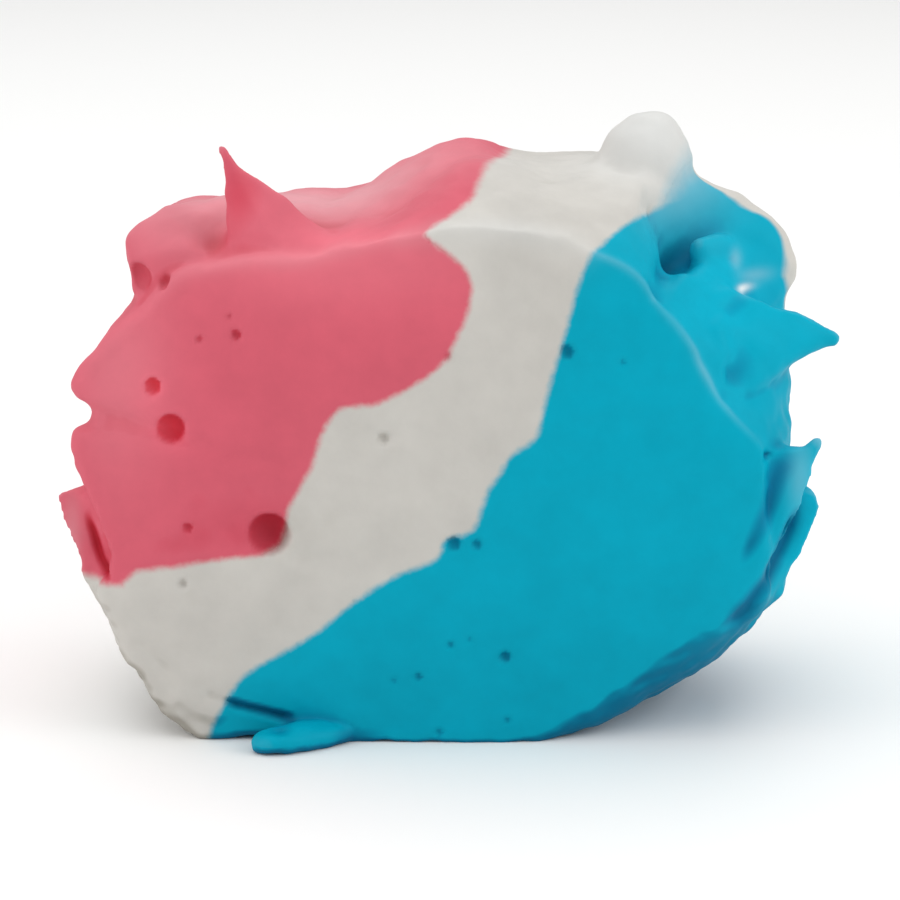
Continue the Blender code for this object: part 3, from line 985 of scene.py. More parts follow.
@dataclass
class Patch:
    """A round place, softly bounded, for smoother taffy, paler taffy, or painted light and shade.

    With a facing, it fades where the surface looks another way.
    """

    place: Point
    radii: Point
    amount: float
    facing: Point | None = None

    def share(self, points: np.ndarray, normals: np.ndarray | None = None) -> np.ndarray:
        """How much of the patch each point has: bell-shaped, up to its amount.

        Args:
            points: All vertices.
            normals: Their normals, for a patch that has a facing.

        Returns:
            A number for each.
        """
        away = ((points - np.array(self.place)) / np.array(self.radii)) ** 2
        share = self.amount * np.exp(-away.sum(axis=1))
        if self.facing is not None:
            share = share * smoothstep(0.0, 0.7, normals @ np.array(self.facing))
        return share


@dataclass(frozen=True)
class TaffyColours:
    """sRGB colours of the three stripes, as hex values."""

    pink: str = "CD5C6C"
    white: str = "C2BFB9"
    blue: str = "009EB8"
    # pale is mixed in for paler taffy, and for painted glow and highlights
    pale: str = "E1E5E6"


def linear(hex_colour: str) -> tuple[float, float, float, float]:
    """Turns an sRGB hex colour into linear values with full alpha."""
    parts = [int(hex_colour[i : i + 2], 16) / 255 for i in (0, 2, 4)]
    bent = [p / 12.92 if p <= 0.04045 else ((p + 0.055) / 1.055) ** 2.4 for p in parts]
    return (bent[0], bent[1], bent[2], 1.0)


def add_node(
    tree: bpy.types.NodeTree, kind: str, values: dict | None = None, **settings: object
) -> bpy.types.Node:
    """Adds a shader node with its settings and its inputs.

    Args:
        tree: The node tree.
        kind: The node's type name without its ShaderNode prefix.
        values: For each input, by name or number, a constant or an output socket to link.
        **settings: The node's own properties.

    Returns:
        The node.
    """
    node = tree.nodes.new("ShaderNode" + kind)
    for name, value in settings.items():
        setattr(node, name, value)
    for key, value in (values or {}).items():
        if isinstance(value, bpy.types.NodeSocket):
            tree.links.new(value, node.inputs[key])
        else:
            node.inputs[key].default_value = value
    return node


@dataclass(frozen=True)
class PulledTaffy:
    """Salt water taffy: boiled sugar and corn syrup, pulled until it is full of fine air.

    The air makes it opaque with a soft glow at thin edges, which is painted on as pale colour;
    its surface is satin and slightly uneven, with no sharp highlights. grain is the fine
    unevenness, mottle the cloudy one and tear that of the stripes' edges. The strongest gamma is
    that of the painted shade where it is fullest, and glow the share of pale colour painted on
    the thinnest edge as its glow.
    """

    colours: TaffyColours = TaffyColours()
    roughness: float = 0.48
    ior: float = 1.49
    gloss: float = 0.06
    tear_mm: float = 0.42
    grain_mm: float = 0.22
    grain_height_mm: float = 0.02
    mottle_mm: float = 2.4
    mottling: float = 0.05
    deepest_painted_shade: float = 1.9
    glow: float = 0.18

    def material(self, name: str) -> bpy.types.Material:
        """The finish, named for the stripe that wears it.

        Args:
            name: The material's name.

        Returns:
            The material.
        """
        made = bpy.data.materials.new(name)
        made.use_nodes = True
        tree = made.node_tree
        shader = tree.nodes["Principled BSDF"]
        place = add_node(tree, "TexCoord").outputs["Object"]
        tree.links.new(self.stripes(tree, place), shader.inputs["Base Color"])
        shader.inputs["Roughness"].default_value = self.roughness
        shader.inputs["IOR"].default_value = self.ior
        shader.inputs["Specular IOR Level"].default_value = self.gloss
        fine = {"Vector": place, "Scale": 1 / (self.grain_mm * MM), "Detail": 3.0, "Roughness": 0.55}
        grain = add_node(tree, "TexNoise", fine).outputs["Fac"]
        relief = {"Strength": 0.25, "Distance": self.grain_height_mm * MM, "Height": grain}
        bump = add_node(tree, "Bump", relief)
        tree.links.new(bump.outputs["Normal"], shader.inputs["Normal"])
        return made

    def stripes(self, tree: bpy.types.NodeTree, place: bpy.types.NodeSocket) -> bpy.types.NodeSocket:
        """The three colours, run together along the borders with a finely torn edge, mottled, and with
        painted light and shade.

        Args:
            tree: The node tree.
            place: Object coordinates.

        Returns:
            The colour socket.
        """
        tear = {"Vector": place, "Scale": 1 / (self.tear_mm * MM), "Detail": 3.0, "Roughness": 0.6}
        torn = add_node(tree, "TexNoise", tear).outputs["Fac"]
        shifted = add_node(tree, "Math", {0: torn, 1: 0.5}, operation="SUBTRACT").outputs[0]
        colour = linear(self.colours.pink)
        for past, following in (("past_pink", self.colours.white), ("past_white", self.colours.blue)):
            side = add_node(tree, "Attribute", attribute_name=past).outputs["Fac"]
            reach = add_node(tree, "Attribute", attribute_name=past + "_tear").outputs["Fac"]
            wander = add_node(tree, "Math", {0: shifted, 1: reach, 2: side}, operation="MULTIPLY_ADD")
            spread = {"Value": wander.outputs[0], "From Min": -1.0, "From Max": 1.0}
            share = add_node(tree, "MapRange", spread, interpolation_type="SMOOTHSTEP")
            both = {0: share.outputs["Result"], 6: colour, 7: linear(following)}
            colour = add_node(tree, "Mix", both, data_type="RGBA").outputs[2]
        cloud = {"Vector": place, "Scale": 1 / (self.mottle_mm * MM), "Detail": 4.0, "Roughness": 0.6}
        mottle = add_node(tree, "TexNoise", cloud).outputs["Fac"]
        least, most = 1 - self.mottling, 1 + self.mottling
        levels = {"Value": mottle, "From Min": 0.3, "From Max": 0.7, "To Min": least, "To Max": most}
        level = add_node(tree, "MapRange", levels).outputs["Result"]
        # Painted light and shade: listed patches raise or lower the colour's level
        painted_light_and_shade = add_node(tree, "Attribute", attribute_name="painted_light_and_shade").outputs["Fac"]
        lifted = add_node(tree, "Math", {0: level, 1: painted_light_and_shade}, operation="ADD").outputs[0]
        toned = add_node(tree, "VectorMath", {0: colour, "Scale": lifted}, operation="SCALE")
        return self.paler_taffy_painted_light_and_shade(tree, toned.outputs["Vector"])

    def paler_taffy_painted_light_and_shade(self, tree: bpy.types.NodeTree, colour: bpy.types.NodeSocket) -> bpy.types.NodeSocket:
        """Paints a pale glow on thin edges, where fine air scatters most, and shade in recesses as a deeper
        colour; mixes in paler taffy and painted light.

        Args:
            tree: The node tree.
            colour: The stripes' colour.

        Returns:
            The colour socket.
        """
        # Painted shade: a gamma deepens the colour where shade falls
        painted_shade = add_node(tree, "Attribute", attribute_name="painted_shade").outputs["Fac"]
        bends = {"Value": painted_shade, "From Min": 0.15, "From Max": 1.3, "To Min": 1.0, "To Max": self.deepest_painted_shade}
        bend = add_node(tree, "MapRange", bends).outputs["Result"]
        deep = add_node(tree, "Gamma", {"Color": colour, "Gamma": bend}).outputs["Color"]
        # Painted glow on thin edges, as a share of pale colour
        edge = add_node(tree, "Attribute", attribute_name="edge").outputs["Fac"]
        shares = {"Value": edge, "From Min": 0.6, "From Max": 1.8, "To Max": self.glow}
        share = add_node(tree, "MapRange", shares).outputs["Result"]
        # Paler taffy where listed, together with painted light and highlights, mixed in as pale colour
        paler_taffy_and_painted_light = add_node(tree, "Attribute", attribute_name="paler_taffy_and_painted_light").outputs["Fac"]
        most = add_node(tree, "Math", {0: share, 1: paler_taffy_and_painted_light}, operation="MAXIMUM").outputs[0]
        both = {0: most, 6: deep, 7: linear(self.colours.pale)}
        return add_node(tree, "Mix", both, data_type="RGBA").outputs[2]


@dataclass
class TaffySweet:
    """The sweet, from its bare rope to its three dressed stripes.

    voxel is how fine the fused body's mesh is, seam the gap between two stripes, wall how near
    its border a vertex is taken to lie on a cut, and tear how far the colours' edge wanders.
    The painted glow on thin edges and the painted shade in creases and recesses come from how far
    the surface lies off copies smoothed for so many rounds, against a full depth in millimetres.
    A lump row is a height, a wavelength and a seed.
    """

    rope: CutRope = field(default_factory=CutRope)
    finish: PulledTaffy = field(default_factory=PulledTaffy)
    voxel: float = 0.136
    seam: float = 0.0015
    wall: float = 0.03
    tear: float = 0.26
    settling_rounds: int = 3
    melting_rounds: int = 24
    edge_rounds: int = 9
    edge_depth: float = 0.07
    hollow_rounds: int = 60
    hollow_depth: float = 0.3
    under_shade: float = 1.1
    lumps: list[Point] = kept((0.09, 3.6, 3), (0.04, 1.6, 4))
    fine_lumps: Point = (0.035, 0.75, 5)
    rim_width: float = 0.3
    rim_softening: float = 0.5
    pulls: list[Pull] = kept(
        Pull(
            "peak_tip",
            [(-8.6, 2.8, 23.6), (-9.0, 2.8, 25.2), (-9.4, 2.9, 26.3), (-9.9, 2.9, 27.3)],
            [1.0, 0.75, 0.42, 0.14],
            [0.6, 0.42, 0.3, 0.14],
        ),
        Pull(
            "flange_tip",
            [(13.0, 5.4, 17.4), (15.0, 5.1, 18.1), (16.6, 4.9, 18.15), (17.5, 4.9, 18.0), (18.4, 5.0, 17.9)],
            [1.6, 1.3, 0.95, 0.66, 0.36],
            [1.0, 0.75, 0.5, 0.4, 0.28],
        ),
        Pull(
            "small_lobe",
            [(14.4, 8.0, 21.0), (13.3, 7.2, 21.4), (12.3, 6.2, 21.7), (11.45, 5.6, 21.8)],
            [0.9, 0.85, 0.8, 0.7],
            [0.7, 0.65, 0.6, 0.5],
            round_tip=0.1,
        ),
        Pull(
            "knob",
            [(8.7, 9.0, 22.0), (9.2, 9.0, 24.0), (9.7, 9.0, 25.8), (10.15, 9.0, 27.8)],
            [3.0, 2.6, 2.15, 1.8],
            [2.9, 2.5, 2.2, 1.9],
            round_tip=0.36,
        ),
        Pull(
            "foot_leaf",
            [(-4.4, 1.0, 0.4), (-5.9, 0.0, 0.45), (-7.3, -0.85, 0.5), (-8.7, -1.25, 0.45)],
            [0.5, 0.6, 0.66, 0.62],
            [0.9, 0.95, 0.9, 0.75],
            round_tip=0.2,
        ),
        Pull(
            "leaf_tip",
            [(16.0, 2.0, 12.2), (16.5, 1.75, 13.0), (16.85, 1.6, 13.6), (17.15, 1.6, 14.1)],
            [0.5, 0.38, 0.3, 0.2],
            [0.4, 0.33, 0.26, 0.2],
            round_tip=0.14,
        ),
        Pull(
            "far_peak",
            [(7.6, 14.0, 21.8), (8.2, 15.4, 22.9), (8.8, 17.0, 23.5), (9.6, 18.3, 23.6)],
            [2.0, 1.3, 0.7, 0.18],
            [1.6, 1.1, 0.6, 0.18],
            facing=(0, 0, 1),
        ),
        Pull(
            "far_leaf_left",
            [(-13.0, 13.6, 7.6), (-14.4, 15.4, 9.6), (-15.2, 16.8, 11.6), (-15.4, 17.9, 13.4)],
            [1.6, 1.5, 1.2, 0.6],
            [0.8, 0.5, 0.4, 0.25],
            facing=(1, 0, 0),
        ),
        Pull(
            "far_leaf_right",
            [(12.6, 13.4, 5.0), (14.6, 15.2, 7.4), (15.4, 16.6, 9.4), (15.6, 17.7, 11.5)],
            [1.5, 1.4, 1.1, 0.5],
            [0.8, 0.5, 0.4, 0.25],
            facing=(1, 0, 0),
        ),
    )
    creases: list[Crease] = kept(
        # The lip of taffy that has crept under the cut's lower left edge
        Crease([(-11.0, 2.4), (-10.4, 2.1), (-9.8, 1.85), (-9.0, 1.6)], 0.24, 0.08, shade=0.12),
        Crease([(-10.1, 1.95), (-9.2, 1.68), (-8.3, 1.42), (-7.4, 1.2), (-6.5, 1.05)], 0.2, 0.34, shade=0.5),
        Crease([(-12.6, 2.6), (-11.2, 1.7), (-9.6, 1.1)], 0.6, -0.18),
        Crease([(-14.2, 5.0), (-13.5, 4.3), (-12.95, 3.72), (-12.0, 3.1)], 0.26, 0.06, shade=0.1),
        # The furrows before the right leaves and the left one
        Crease(
            [(16.0, 14.1), (15.6, 13.1), (15.2, 12.1), (14.85, 11.0), (14.35, 9.9), (13.9, 9.0), (13.5, 8.1)],
            0.45, 0.1, shade=0.85, widening=-0.9,
        ),
        Crease(
            [(16.45, 11.4), (16.2, 10.5), (15.9, 9.5), (15.5, 8.5), (15.0, 7.55), (14.45, 6.8), (13.9, 6.05),
             (13.4, 5.4), (13.0, 4.9)],
            0.45, 0.42, shade=1.15, widening=0.5, behind=5.0,
        ),
        Crease(
            [(-16.3, 10.6), (-16.0, 9.5), (-15.75, 8.5), (-15.4, 7.8), (-15.0, 7.3)],
            0.2, 0.25, shade=0.8, behind=5.0,
        ),
        # A soft fold in the flange, and the nick at its lower end
        Crease([(12.3, 19.7), (12.7, 18.6), (13.1, 17.0)], 0.35, -0.18, behind=6.0),
        Crease([(14.6, 13.5), (15.0, 13.3)], 0.22, 0.35, shade=0.3),
    )
    # Each bubble is x, height, radius and how deep the painted shade inside it is
    bubbles: list[tuple] = kept(
        (-13.0, 16.6, 0.42, 1.1), (-12.2, 14.7, 0.70, 1.0), (-7.8, 9.95, 0.98, 0.62),
        (-9.2, 19.05, 0.27, 0.6), (-10.85, 18.8, 0.2, 0.45), (-9.5, 19.9, 0.16, 0.3),
        (-11.5, 10.15, 0.24, 0.5),
        (0.3, 18.2, 0.2, 0.3), (-2.6, 14.45, 0.30, 0.35), (-11.75, 7.5, 0.24, 0.35), (5.6, 18.4, 0.36, 0.7),
        (8.1, 17.9, 0.16, 0.4), (0.55, 9.55, 0.36, 0.7), (1.6, 9.5, 0.26, 0.6), (2.9, 4.15, 0.30, 0.8),
        (0.4, 4.75, 0.18, 0.5), (1.25, 5.0, 0.14, 0.4), (-1.05, 3.2, 0.2, 0.6), (-2.2, 3.0, 0.15, 0.4),
        (3.0, 1.1, 0.18, 0.5), (-0.1, 0.5, 0.2, 0.5), (-4.0, 6.85, 0.12, 0.3),
    )
    back_bubbles: list[tuple] = kept(
        (-9.4, 14.2, 0.62, 0.8), (-6.6, 17.8, 0.36, 0.6), (-1.8, 12.2, 0.44, 0.4), (7.4, 8.8, 0.70, 0.8),
        (9.6, 13.6, 0.34, 0.6), (3.2, 16.9, 0.46, 0.5), (-8.6, 8.0, 0.24, 0.4), (1.4, 6.4, 0.26, 0.5),
    )
    torn_bubbles: list[Bubble] = kept(
        Bubble((-13.8, 2.8, 21.2), 0.75, (0.4, 0.9, 0.2), 0.4),
        Bubble((-12.45, 2.15, 21.2), 0.38, (0.5, 0.75, -0.4), 0.35),
        Bubble((-16.9, 1.6, 15.6), 0.55, (1.0, 0.25, 0.0), 0.35),
    )
    # Paler taffy: the white that shows in the slit under the big fold; the rest is painted light on the
    # upward-facing top, lit edges and leaves, streaks on the big fold and the knob
    paler_taffy_and_painted_light: list[Patch] = kept(
        Patch((13.8, 5.6, 20.15), (0.55, 0.9, 0.16), 1.0),
        Patch((13.56, 6.2, 21.4), (0.28, 0.7, 0.45), 0.16),
        Patch((14.5, 6.4, 20.6), (0.9, 0.9, 0.3), 0.16),
        Patch((-4.5, 0.5, 22.6), (6.5, 2.0, 2.0), 0.04),
        Patch((16.3, 1.6, 12.3), (0.5, 0.9, 1.6), 0.12),
        Patch((-16.9, 3.2, 9.6), (0.45, 0.9, 1.8), 0.14),
        Patch((-6.0, 7.2, 24.6), (7.5, 3.4, 4.0), 0.3, facing=(0, 0, 1)),
        Patch((-14.6, 1.5, 17.5), (2.4, 1.5, 5.0), 0.07),
        Patch((9.6, 8.0, 26.8), (3.2, 3.5, 2.8), 0.47),
        Patch((-12.2, 4.2, 23.2), (2.4, 3.0, 1.6), 0.06),
    )
    # Painted shade: deeper colour in pits and dents, on the tall peak, in the gap at the foot and over the
    # cut's lower left
    painted_shade_patches: list[Patch] = kept(
        Patch((-14.4, 2.5, 20.3), (0.5, 1.2, 0.8), 0.4),
        Patch((-8.0, 0.6, 10.2), (6.0, 2.0, 2.4), 0.25),
        Patch((11.0, 6.3, 21.25), (0.55, 1.8, 0.85), 0.12),
        Patch((9.9, 6.0, 22.4), (1.4, 2.0, 1.3), 0.12),
        Patch((-4.3, 0.2, 0.35), (1.5, 0.7, 0.35), 0.8),
        Patch((-7.4, -0.5, 0.4), (1.6, 1.2, 0.9), 0.22),
        Patch((-9.0, 2.4, 25.0), (1.1, 0.8, 2.6), 0.42),
        Patch((-5.6, 3.0, 23.5), (0.9, 0.9, 0.6), 0.25),
        Patch((13.5, 3.6, 19.9), (0.6, 0.9, 0.4), 0.4),
        Patch((13.7, 2.2, 17.1), (0.8, 1.4, 0.9), 0.3),
    )
    # Painted light and shade: the colour's level raised where light falls and lowered where shade falls
    painted_light_and_shade: list[Patch] = kept(
        Patch((-13.0, 1.3, 16.6), (0.45, 1.2, 0.45), 0.3),
        Patch((-12.2, 1.3, 14.7), (0.7, 1.2, 0.7), 0.3),
        Patch((-4.5, 0.5, 22.2), (6.5, 2.0, 2.2), 0.18),
        Patch((-9.0, 2.4, 25.0), (1.2, 0.9, 2.6), 0.1),
        Patch((16.4, 1.7, 12.4), (1.0, 1.2, 1.8), 0.16),
        Patch((16.6, 3.4, 9.6), (1.0, 1.2, 2.4), 0.1),
        Patch((14.0, 5.5, 20.5), (4.0, 4.0, 4.0), 0.1),
        Patch((12.8, 1.5, 18.5), (2.5, 2.0, 3.5), 0.05),
        Patch((-5.0, 7.5, 24.5), (6.0, 3.0, 3.0), 0.05),
        Patch((3.5, 0.4, 22.5), (2.6, 2.0, 2.4), -0.08),
        Patch((-14.0, 1.5, 17.0), (2.5, 2.0, 6.0), 0.09),
        Patch((3.0, 0.4, 2.0), (14.0, 3.0, 4.0), -0.07),
    )
    # Painted highlights along the front cut's edge: first and last degrees, half width, and shares along it
    painted_ridge_highlights: list[tuple] = kept(
        (66.0, 44.0, 0.2, [0.0, 0.07, 0.06, 0.05]),
        (44.0, 8.0, 0.2, [0.04, 0.05, 0.08, 0.12, 0.08, 0.04, 0.0]),
        (150.0, 98.0, 0.5, [0.0, 0.06, 0.07, 0.05]),
        (98.0, 62.0, 0.7, [0.05, 0.15, 0.19, 0.1]),
    )
    softened: list[Patch] = kept(
        Patch((9.4, 9.0, 24.2), (3.4, 3.0, 1.9), 0.9),
        Patch((-8.0, 3.2, 22.4), (2.6, 1.5, 0.9), 0.6),
        Patch((14.6, 4.6, 17.6), (2.4, 2.0, 2.0), 0.8),
        Patch((13.0, 6.4, 20.6), (1.4, 1.4, 1.6), 0.4),
        Patch((15.1, 2.6, 7.2), (0.9, 1.6, 1.0), 0.85),
    )
    pink_border: Border = field(
        default_factory=lambda: Border(
            line=[
                (0.0, 32.0), (0.0, 25.6), (-0.15, 24.9), (-0.7, 24.3), (-1.2, 23.85), (-0.7, 23.4),
                (0.4, 22.6), (0.9, 22.0), (1.1, 21.2), (1.0, 20.2), (0.3, 18.4), (-0.6, 17.4),
                (-2.2, 16.4), (-3.2, 16.0), (-4.4, 15.9), (-5.0, 15.5), (-5.5, 14.6), (-5.9, 13.2),
                (-6.5, 12.0), (-7.0, 11.1), (-7.4, 9.5), (-8.1, 9.0), (-10.0, 8.75), (-12.2, 8.3),
                (-13.9, 8.0), (-14.5, 7.5), (-15.6, 7.3), (-24.0, 7.6),
            ],
            lean=2.8,
            power=0.5,
            back_lean=1.0,
            wrap=6.0,
            softness=(0.22, 0.03),
        )
    )
    blue_border: Border = field(
        default_factory=lambda: Border(
            line=[
                (11.0, 32.0), (9.4, 28.0), (8.1, 26.2), (7.3, 25.2), (6.85, 24.3), (6.5, 23.3),
                (6.2, 22.3), (5.9, 21.3), (5.7, 20.3), (5.3, 18.6), (5.0, 17.5), (4.6, 15.8),
                (4.3, 14.6), (3.9, 14.2), (3.1, 13.65), (2.6, 12.8), (2.0, 11.8), (1.6, 10.5),
                (1.2, 10.05), (0.2, 9.7), (0.0, 9.2), (-0.4, 8.75), (-1.6, 8.25), (-2.8, 7.6),
                (-4.2, 6.6), (-5.6, 5.4), (-7.0, 4.5), (-8.8, 3.4), (-9.5, 2.6), (-9.9, 1.9),
                (-10.4, 1.0), (-10.7, 0.0), (-11.2, -2.0),
            ],
            lean=4.15,
            power=0.72,
            back_lean=20.0,
            wrap=1.2,
            mid_depth=8.4,
            softness=(0.22, 0.3),
            mid_rise=0.52,
            least_middle=6.2,
            blur_from=5.6,
            rise=5.5,
        )
    )

    def body(self) -> bpy.types.Object:
        """The whole sweet in one piece: rope and pulls fused, softened, creased and dented.

        It stores edge, how far the surface stands out of a slightly smoothed copy, painted as a pale
        glow on thin edges, and the painted shade: how much deeper the colour is painted where shade
        falls, in creases, bubbles and listed patches, under the sweet and where the surface lies
        inside a much smoother copy.
        """
        body = joined("sweet", [self.rope.surface(), *(pull.surface() for pull in self.pulls)])
        apply_modifier(body, "REMESH", mode="VOXEL", voxel_size=self.voxel, adaptivity=0.0)
        mesh = body.data
        log.info("fused body: %d vertices", len(mesh.vertices))
        write_points(mesh, smoothed(mesh, self.settling_rounds, 0.5))
        points = read_points(mesh)
        melted = np.clip(sum(patch.share(points) for patch in self.softened), 0, 0.9)
        write_points(mesh, smoothed(mesh, self.melting_rounds, melted[:, None]))
        edge = -self.sunk(mesh, self.edge_rounds)
        # Painted shade: deeper colour where shade falls, in creases, recesses, bubbles, listed patches and on
        # the skin that looks down near the foot
        painted_shade = self.texture(mesh)
        sunk = self.sunk(mesh, self.hollow_rounds)
        painted_shade += np.maximum(sunk / self.hollow_depth, 0) + self.under(mesh)
        painted_shade += self.open_bubbles(mesh) + sum(patch.share(points) for patch in self.painted_shade_patches)
        write_attribute(mesh, "painted_shade", np.clip(painted_shade, 0, 2))
        # Painted glow: a pale share on thin edges, left out where painted shade lies
        thin = np.clip(edge / self.edge_depth, 0, 2) * np.clip(1 - 1.5 * painted_shade, 0, 1)
        write_attribute(mesh, "edge", thin)
        return body

    def texture(self, mesh: bpy.types.Mesh) -> np.ndarray:
        """Creases, then low lumps on the skin and fainter ones on the cuts.

        The lumps are ripples along the normals. The fine ones fade where the surface looks up.

        Args:
            mesh: The whole sweet's mesh, changed in place.

        Returns:
            How much deeper each point's colour is painted in the creases, as their shade.
        """
        points, normals = read_points(mesh), read_normals(mesh)
        deeper = sum(crease.press(points, normals) for crease in self.creases)
        skin = 1 - np.abs(normals[:, 1]) ** 2
        rough = 0.35 + 0.65 * smoothstep(0.5, -0.3, normals[:, 2])
        lumps = sum(height * ripple(points, wave, seed) for height, wave, seed in self.lumps)
        height, wave, seed = self.fine_lumps
        fine = height * ripple(points, wave, seed) * rough
        points += normals * ((0.3 + 0.7 * skin) * lumps + (0.15 + 0.85 * skin) * fine)[:, None]
        points[:, 2] = np.maximum(points[:, 2], 0.0)
        write_points(mesh, points)
        return deeper

    def open_bubbles(self, mesh: bpy.types.Mesh) -> np.ndarray:
        """Presses every opened bubble in and rounds the rims a little.

        Args:
            mesh: The whole sweet's mesh, changed in place.

        Returns:
            How much deeper each point's colour is painted, as the shade inside the bubbles.
        """
        rope, forwards = self.rope, (0.0, -1.0, 0.0)
        found = [Bubble((x, rope.cut_depth(x, z), z), r, shade=s) for x, z, r, s in self.bubbles]
        found += [Bubble((x, rope.thickness, z), r, forwards, s) for x, z, r, s in self.back_bubbles]
        found += self.torn_bubbles
        points = read_points(mesh)
        near, deeper = np.zeros(len(points)), np.zeros(len(points))
        for bubble in found:
            away = np.linalg.norm(points - np.array(bubble.place), axis=1)
            near = np.maximum(near, self.rim_softening * (away < bubble.radius + self.rim_width))
            deeper = np.maximum(deeper, bubble.painted_shade_inside(points))
            points = bubble.press(points)
        write_points(mesh, points)
        write_points(mesh, smoothed(mesh, 1, near[:, None]))
        return deeper

    def under(self, mesh: bpy.types.Mesh) -> np.ndarray:
        """Painted shade under the sweet: how much deeper the colour gets near the foot, where the skin looks
        down.
        """
        low = smoothstep(9.0, 2.0, read_points(mesh)[:, 2])
        return self.under_shade * low * smoothstep(0.06, 0.5, -read_normals(mesh)[:, 2])

    def stripes(self) -> dict[str, bpy.types.Object]:
        """The three stripes, parted from the whole sweet along their borders."""
        body = self.body()
        self.mark(body.data)
        parts = {
            "taffy_pink": [(self.pink_border, -1)],
            "taffy_white": [(self.pink_border, 1), (self.blue_border, -1)],
            "taffy_blue": [(self.blue_border, 1)],
        }
        made = {}
        for name, sides in parts.items():
            stripe = linked("dressed_" + name, body.data.copy())
            for border, outward in sides:
                zone = border.zone("zone", outward, self.seam)
                apply_modifier(stripe, "BOOLEAN", operation="INTERSECT", solver="MANIFOLD", object=zone)
                discard(zone)
            self.dress(stripe)
            made[name] = stripe
            log.info("%s: %d faces", name, len(stripe.data.polygons))
        discard(body)
        return made

    def sunk(self, mesh: bpy.types.Mesh, rounds: int) -> np.ndarray:
        """How far each vertex lies inside a copy that is smoothed for so many rounds."""
        away = smoothed(mesh, rounds, 0.7) - read_points(mesh)
        return (away * read_normals(mesh)).sum(axis=1)

    def mark(self, mesh: bpy.types.Mesh) -> None:
        """Stores paler taffy with painted light and edge highlights, and the painted light and shade that
        scale the colour.
        """
        points, normals = read_points(mesh), read_normals(mesh)
        paler_taffy_and_painted_light = sum(patch.share(points, normals) for patch in self.paler_taffy_and_painted_light)
        paler_taffy_and_painted_light += sum(self.painted_ridge_highlight(points, *painted_ridge_highlight) for painted_ridge_highlight in self.painted_ridge_highlights)
        write_attribute(mesh, "paler_taffy_and_painted_light", np.clip(paler_taffy_and_painted_light, 0, 1))
        write_attribute(mesh, "painted_light_and_shade", sum(patch.share(points, normals) for patch in self.painted_light_and_shade))

    def painted_ridge_highlight(
        self, points: np.ndarray, first: float, last: float, width: float, amounts: list[float]
    ) -> np.ndarray:
        """Painted highlight along the cut's edge, as a share of pale colour: bell-shaped across it, and
        varying along it.

        Args:
            points: All vertices.
            first: Degrees where the welt starts.
            last: Degrees where it ends.
            width: Half its width.
            amounts: Shares at even steps from first to last.

        Returns:
            The share at each point.
        """
        line = self.rope.edge_line(first, last)
        low, high = line.min(axis=0) - 3 * width, line.max(axis=0) + 3 * width
        near = np.all((points > low) & (points < high), axis=1)
        away, along = to_line(points[near], line)
        share = np.zeros(len(points))
        share[near] = np.exp(-((away / width) ** 2)) * spline(amounts, along)[:, 0]
        return np.maximum(share, 0)

    def dress(self, stripe: bpy.types.Object) -> None:
        """Gives a stripe its border attributes and its finish, and puts it in the frame."""
        mesh = stripe.data
        points = read_points(mesh)
        on_wall = np.zeros(len(points), bool)
        for name, border in (("past_pink", self.pink_border), ("past_white", self.blue_border)):
            blur, side = border.blur(points), border.side(points)
            on_wall |= np.abs(side) < self.wall
            write_attribute(mesh, name, side / blur)
            write_attribute(mesh, name + "_tear", self.tear / blur)
        for name in ("painted_shade", "edge", "paler_taffy_and_painted_light", "painted_light_and_shade"):
            refill(mesh, name, on_wall)
        write_points(mesh, (points - np.array([*MIDDLE, 0.0])) * MM)
        mesh.materials.clear()
        mesh.materials.append(self.finish.material(stripe.name.replace("dressed_", "pulled_")))
        mesh.shade_smooth()
        mesh.set_sharp_from_angle(angle=math.radians(60))


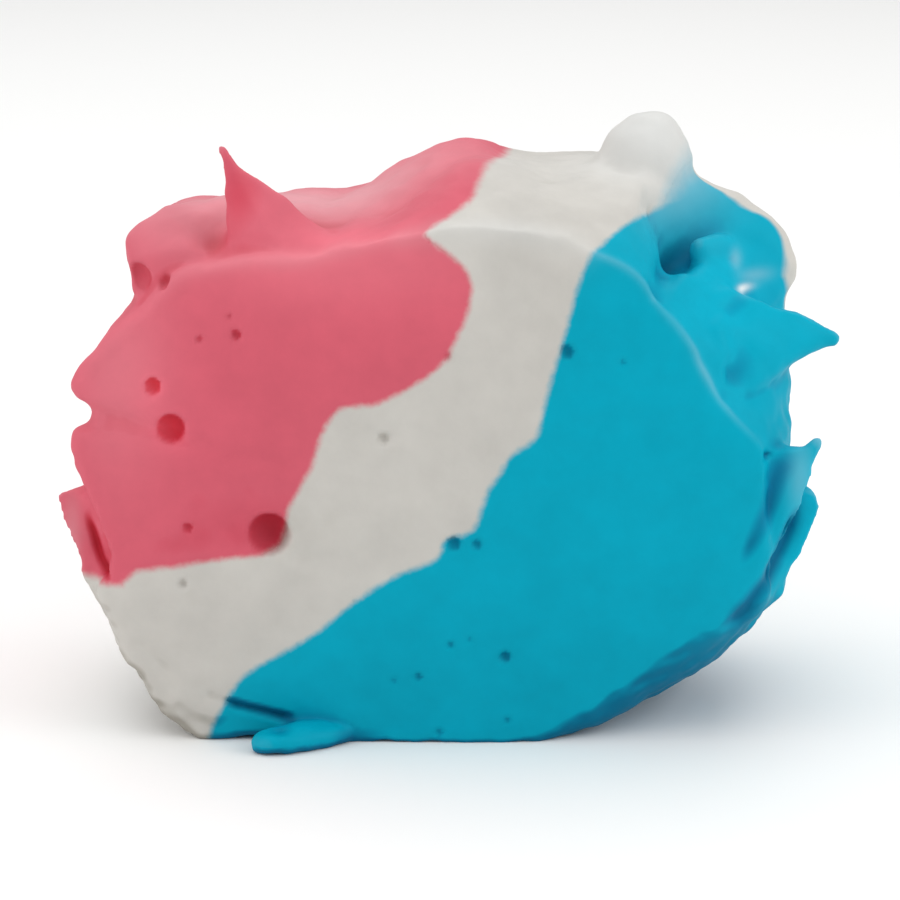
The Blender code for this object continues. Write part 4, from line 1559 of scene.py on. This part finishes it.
@dataclass
class Studio:
    """Plain soft studio light, a pale floor and the camera at the picture's viewpoint.

    A lamp is its name, its place in the cut's millimetres, its width in metres and its watts.
    """

    camera_place: Point = (0.0, -160.7, 55.64)
    aim: Point = (0.4, 4.0, 12.9)
    lens: float = 148.0
    floor_half: float = 1.5
    surround: float = 0.45
    lamps: list[tuple] = kept(
        ("overhead", (-20.0, 140.0, 300.0), 0.40, 0.66),
        ("key", (-30.0, -190.0, 270.0), 0.26, 0.22),
        ("left", (-270.0, -70.0, 150.0), 0.25, 0.34),
        ("right", (270.0, -90.0, 150.0), 0.25, 0.44),
    )

    def build(self) -> None:
        """Makes the floor, the lights, the world and the camera."""
        self.floor()
        self.lights()
        self.camera()

    def in_frame(self, place: Point) -> Vector:
        """A place in the cut's millimetres as a place in the frame."""
        return Vector([(place[0] - MIDDLE[0]) * MM, (place[1] - MIDDLE[1]) * MM, place[2] * MM])

    def floor(self) -> None:
        """A pale matt tabletop."""
        corners = np.array([(-1, -1, 0), (1, -1, 0), (1, 1, 0), (-1, 1, 0)]) * self.floor_half
        plane = add_mesh("floor", corners, np.array([[0, 1, 2, 3]]), np.empty((0, 3), int))
        paint = bpy.data.materials.new("matt_white_board")
        paint.use_nodes = True
        shader = paint.node_tree.nodes["Principled BSDF"]
        shader.inputs["Base Color"].default_value = linear("F4F4F3")
        shader.inputs["Roughness"].default_value = 0.8
        plane.data.materials.append(paint)

    def lights(self) -> None:
        """Broad soft lights overhead, before the sweet and at its sides, and a strong white surround."""
        for name, place, size, watts in self.lamps:
            lamp = bpy.data.lights.new(name, "AREA")
            lamp.size = size
            lamp.energy = watts
            self.aimed(name, lamp, place)
        world = bpy.data.worlds.new("surround")
        bpy.context.scene.world = world
        world.use_nodes = True
        shade = world.node_tree.nodes["Background"]
        shade.inputs["Color"].default_value = (1.0, 1.0, 1.0, 1.0)
        shade.inputs["Strength"].default_value = self.surround
        bpy.context.scene.view_settings.view_transform = "Standard"

    def aimed(self, name: str, data: bpy.types.ID, place: Point) -> bpy.types.Object:
        """A light or a camera that looks at the sweet.

        Args:
            name: The object's name.
            data: The light or the camera.
            place: Where it stands, in the cut's millimetres.

        Returns:
            The object.
        """
        holder = linked(name, data)
        holder.location = self.in_frame(place)
        ahead = self.in_frame(self.aim) - holder.location
        holder.rotation_euler = ahead.to_track_quat("-Z", "Y").to_euler()
        return holder

    def camera(self) -> None:
        """The picture's viewpoint: straight before the cut and about 15 degrees above it."""
        lens = bpy.data.cameras.new("camera")
        lens.lens = self.lens
        lens.sensor_width = 36.0
        lens.clip_start = 0.005
        bpy.context.scene.camera = self.aimed("camera", lens, self.camera_place)


def main() -> None:
    """Loads the frame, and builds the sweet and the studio."""
    logging.basicConfig(level=logging.INFO, format="%(name)s: %(message)s")
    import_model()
    for node, stripe in TaffySweet().stripes().items():
        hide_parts(node)
        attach(stripe, "root")
        log.info("%s stands for %s", stripe.name, node)
    Studio().build()


if __name__ == "__main__":
    main()
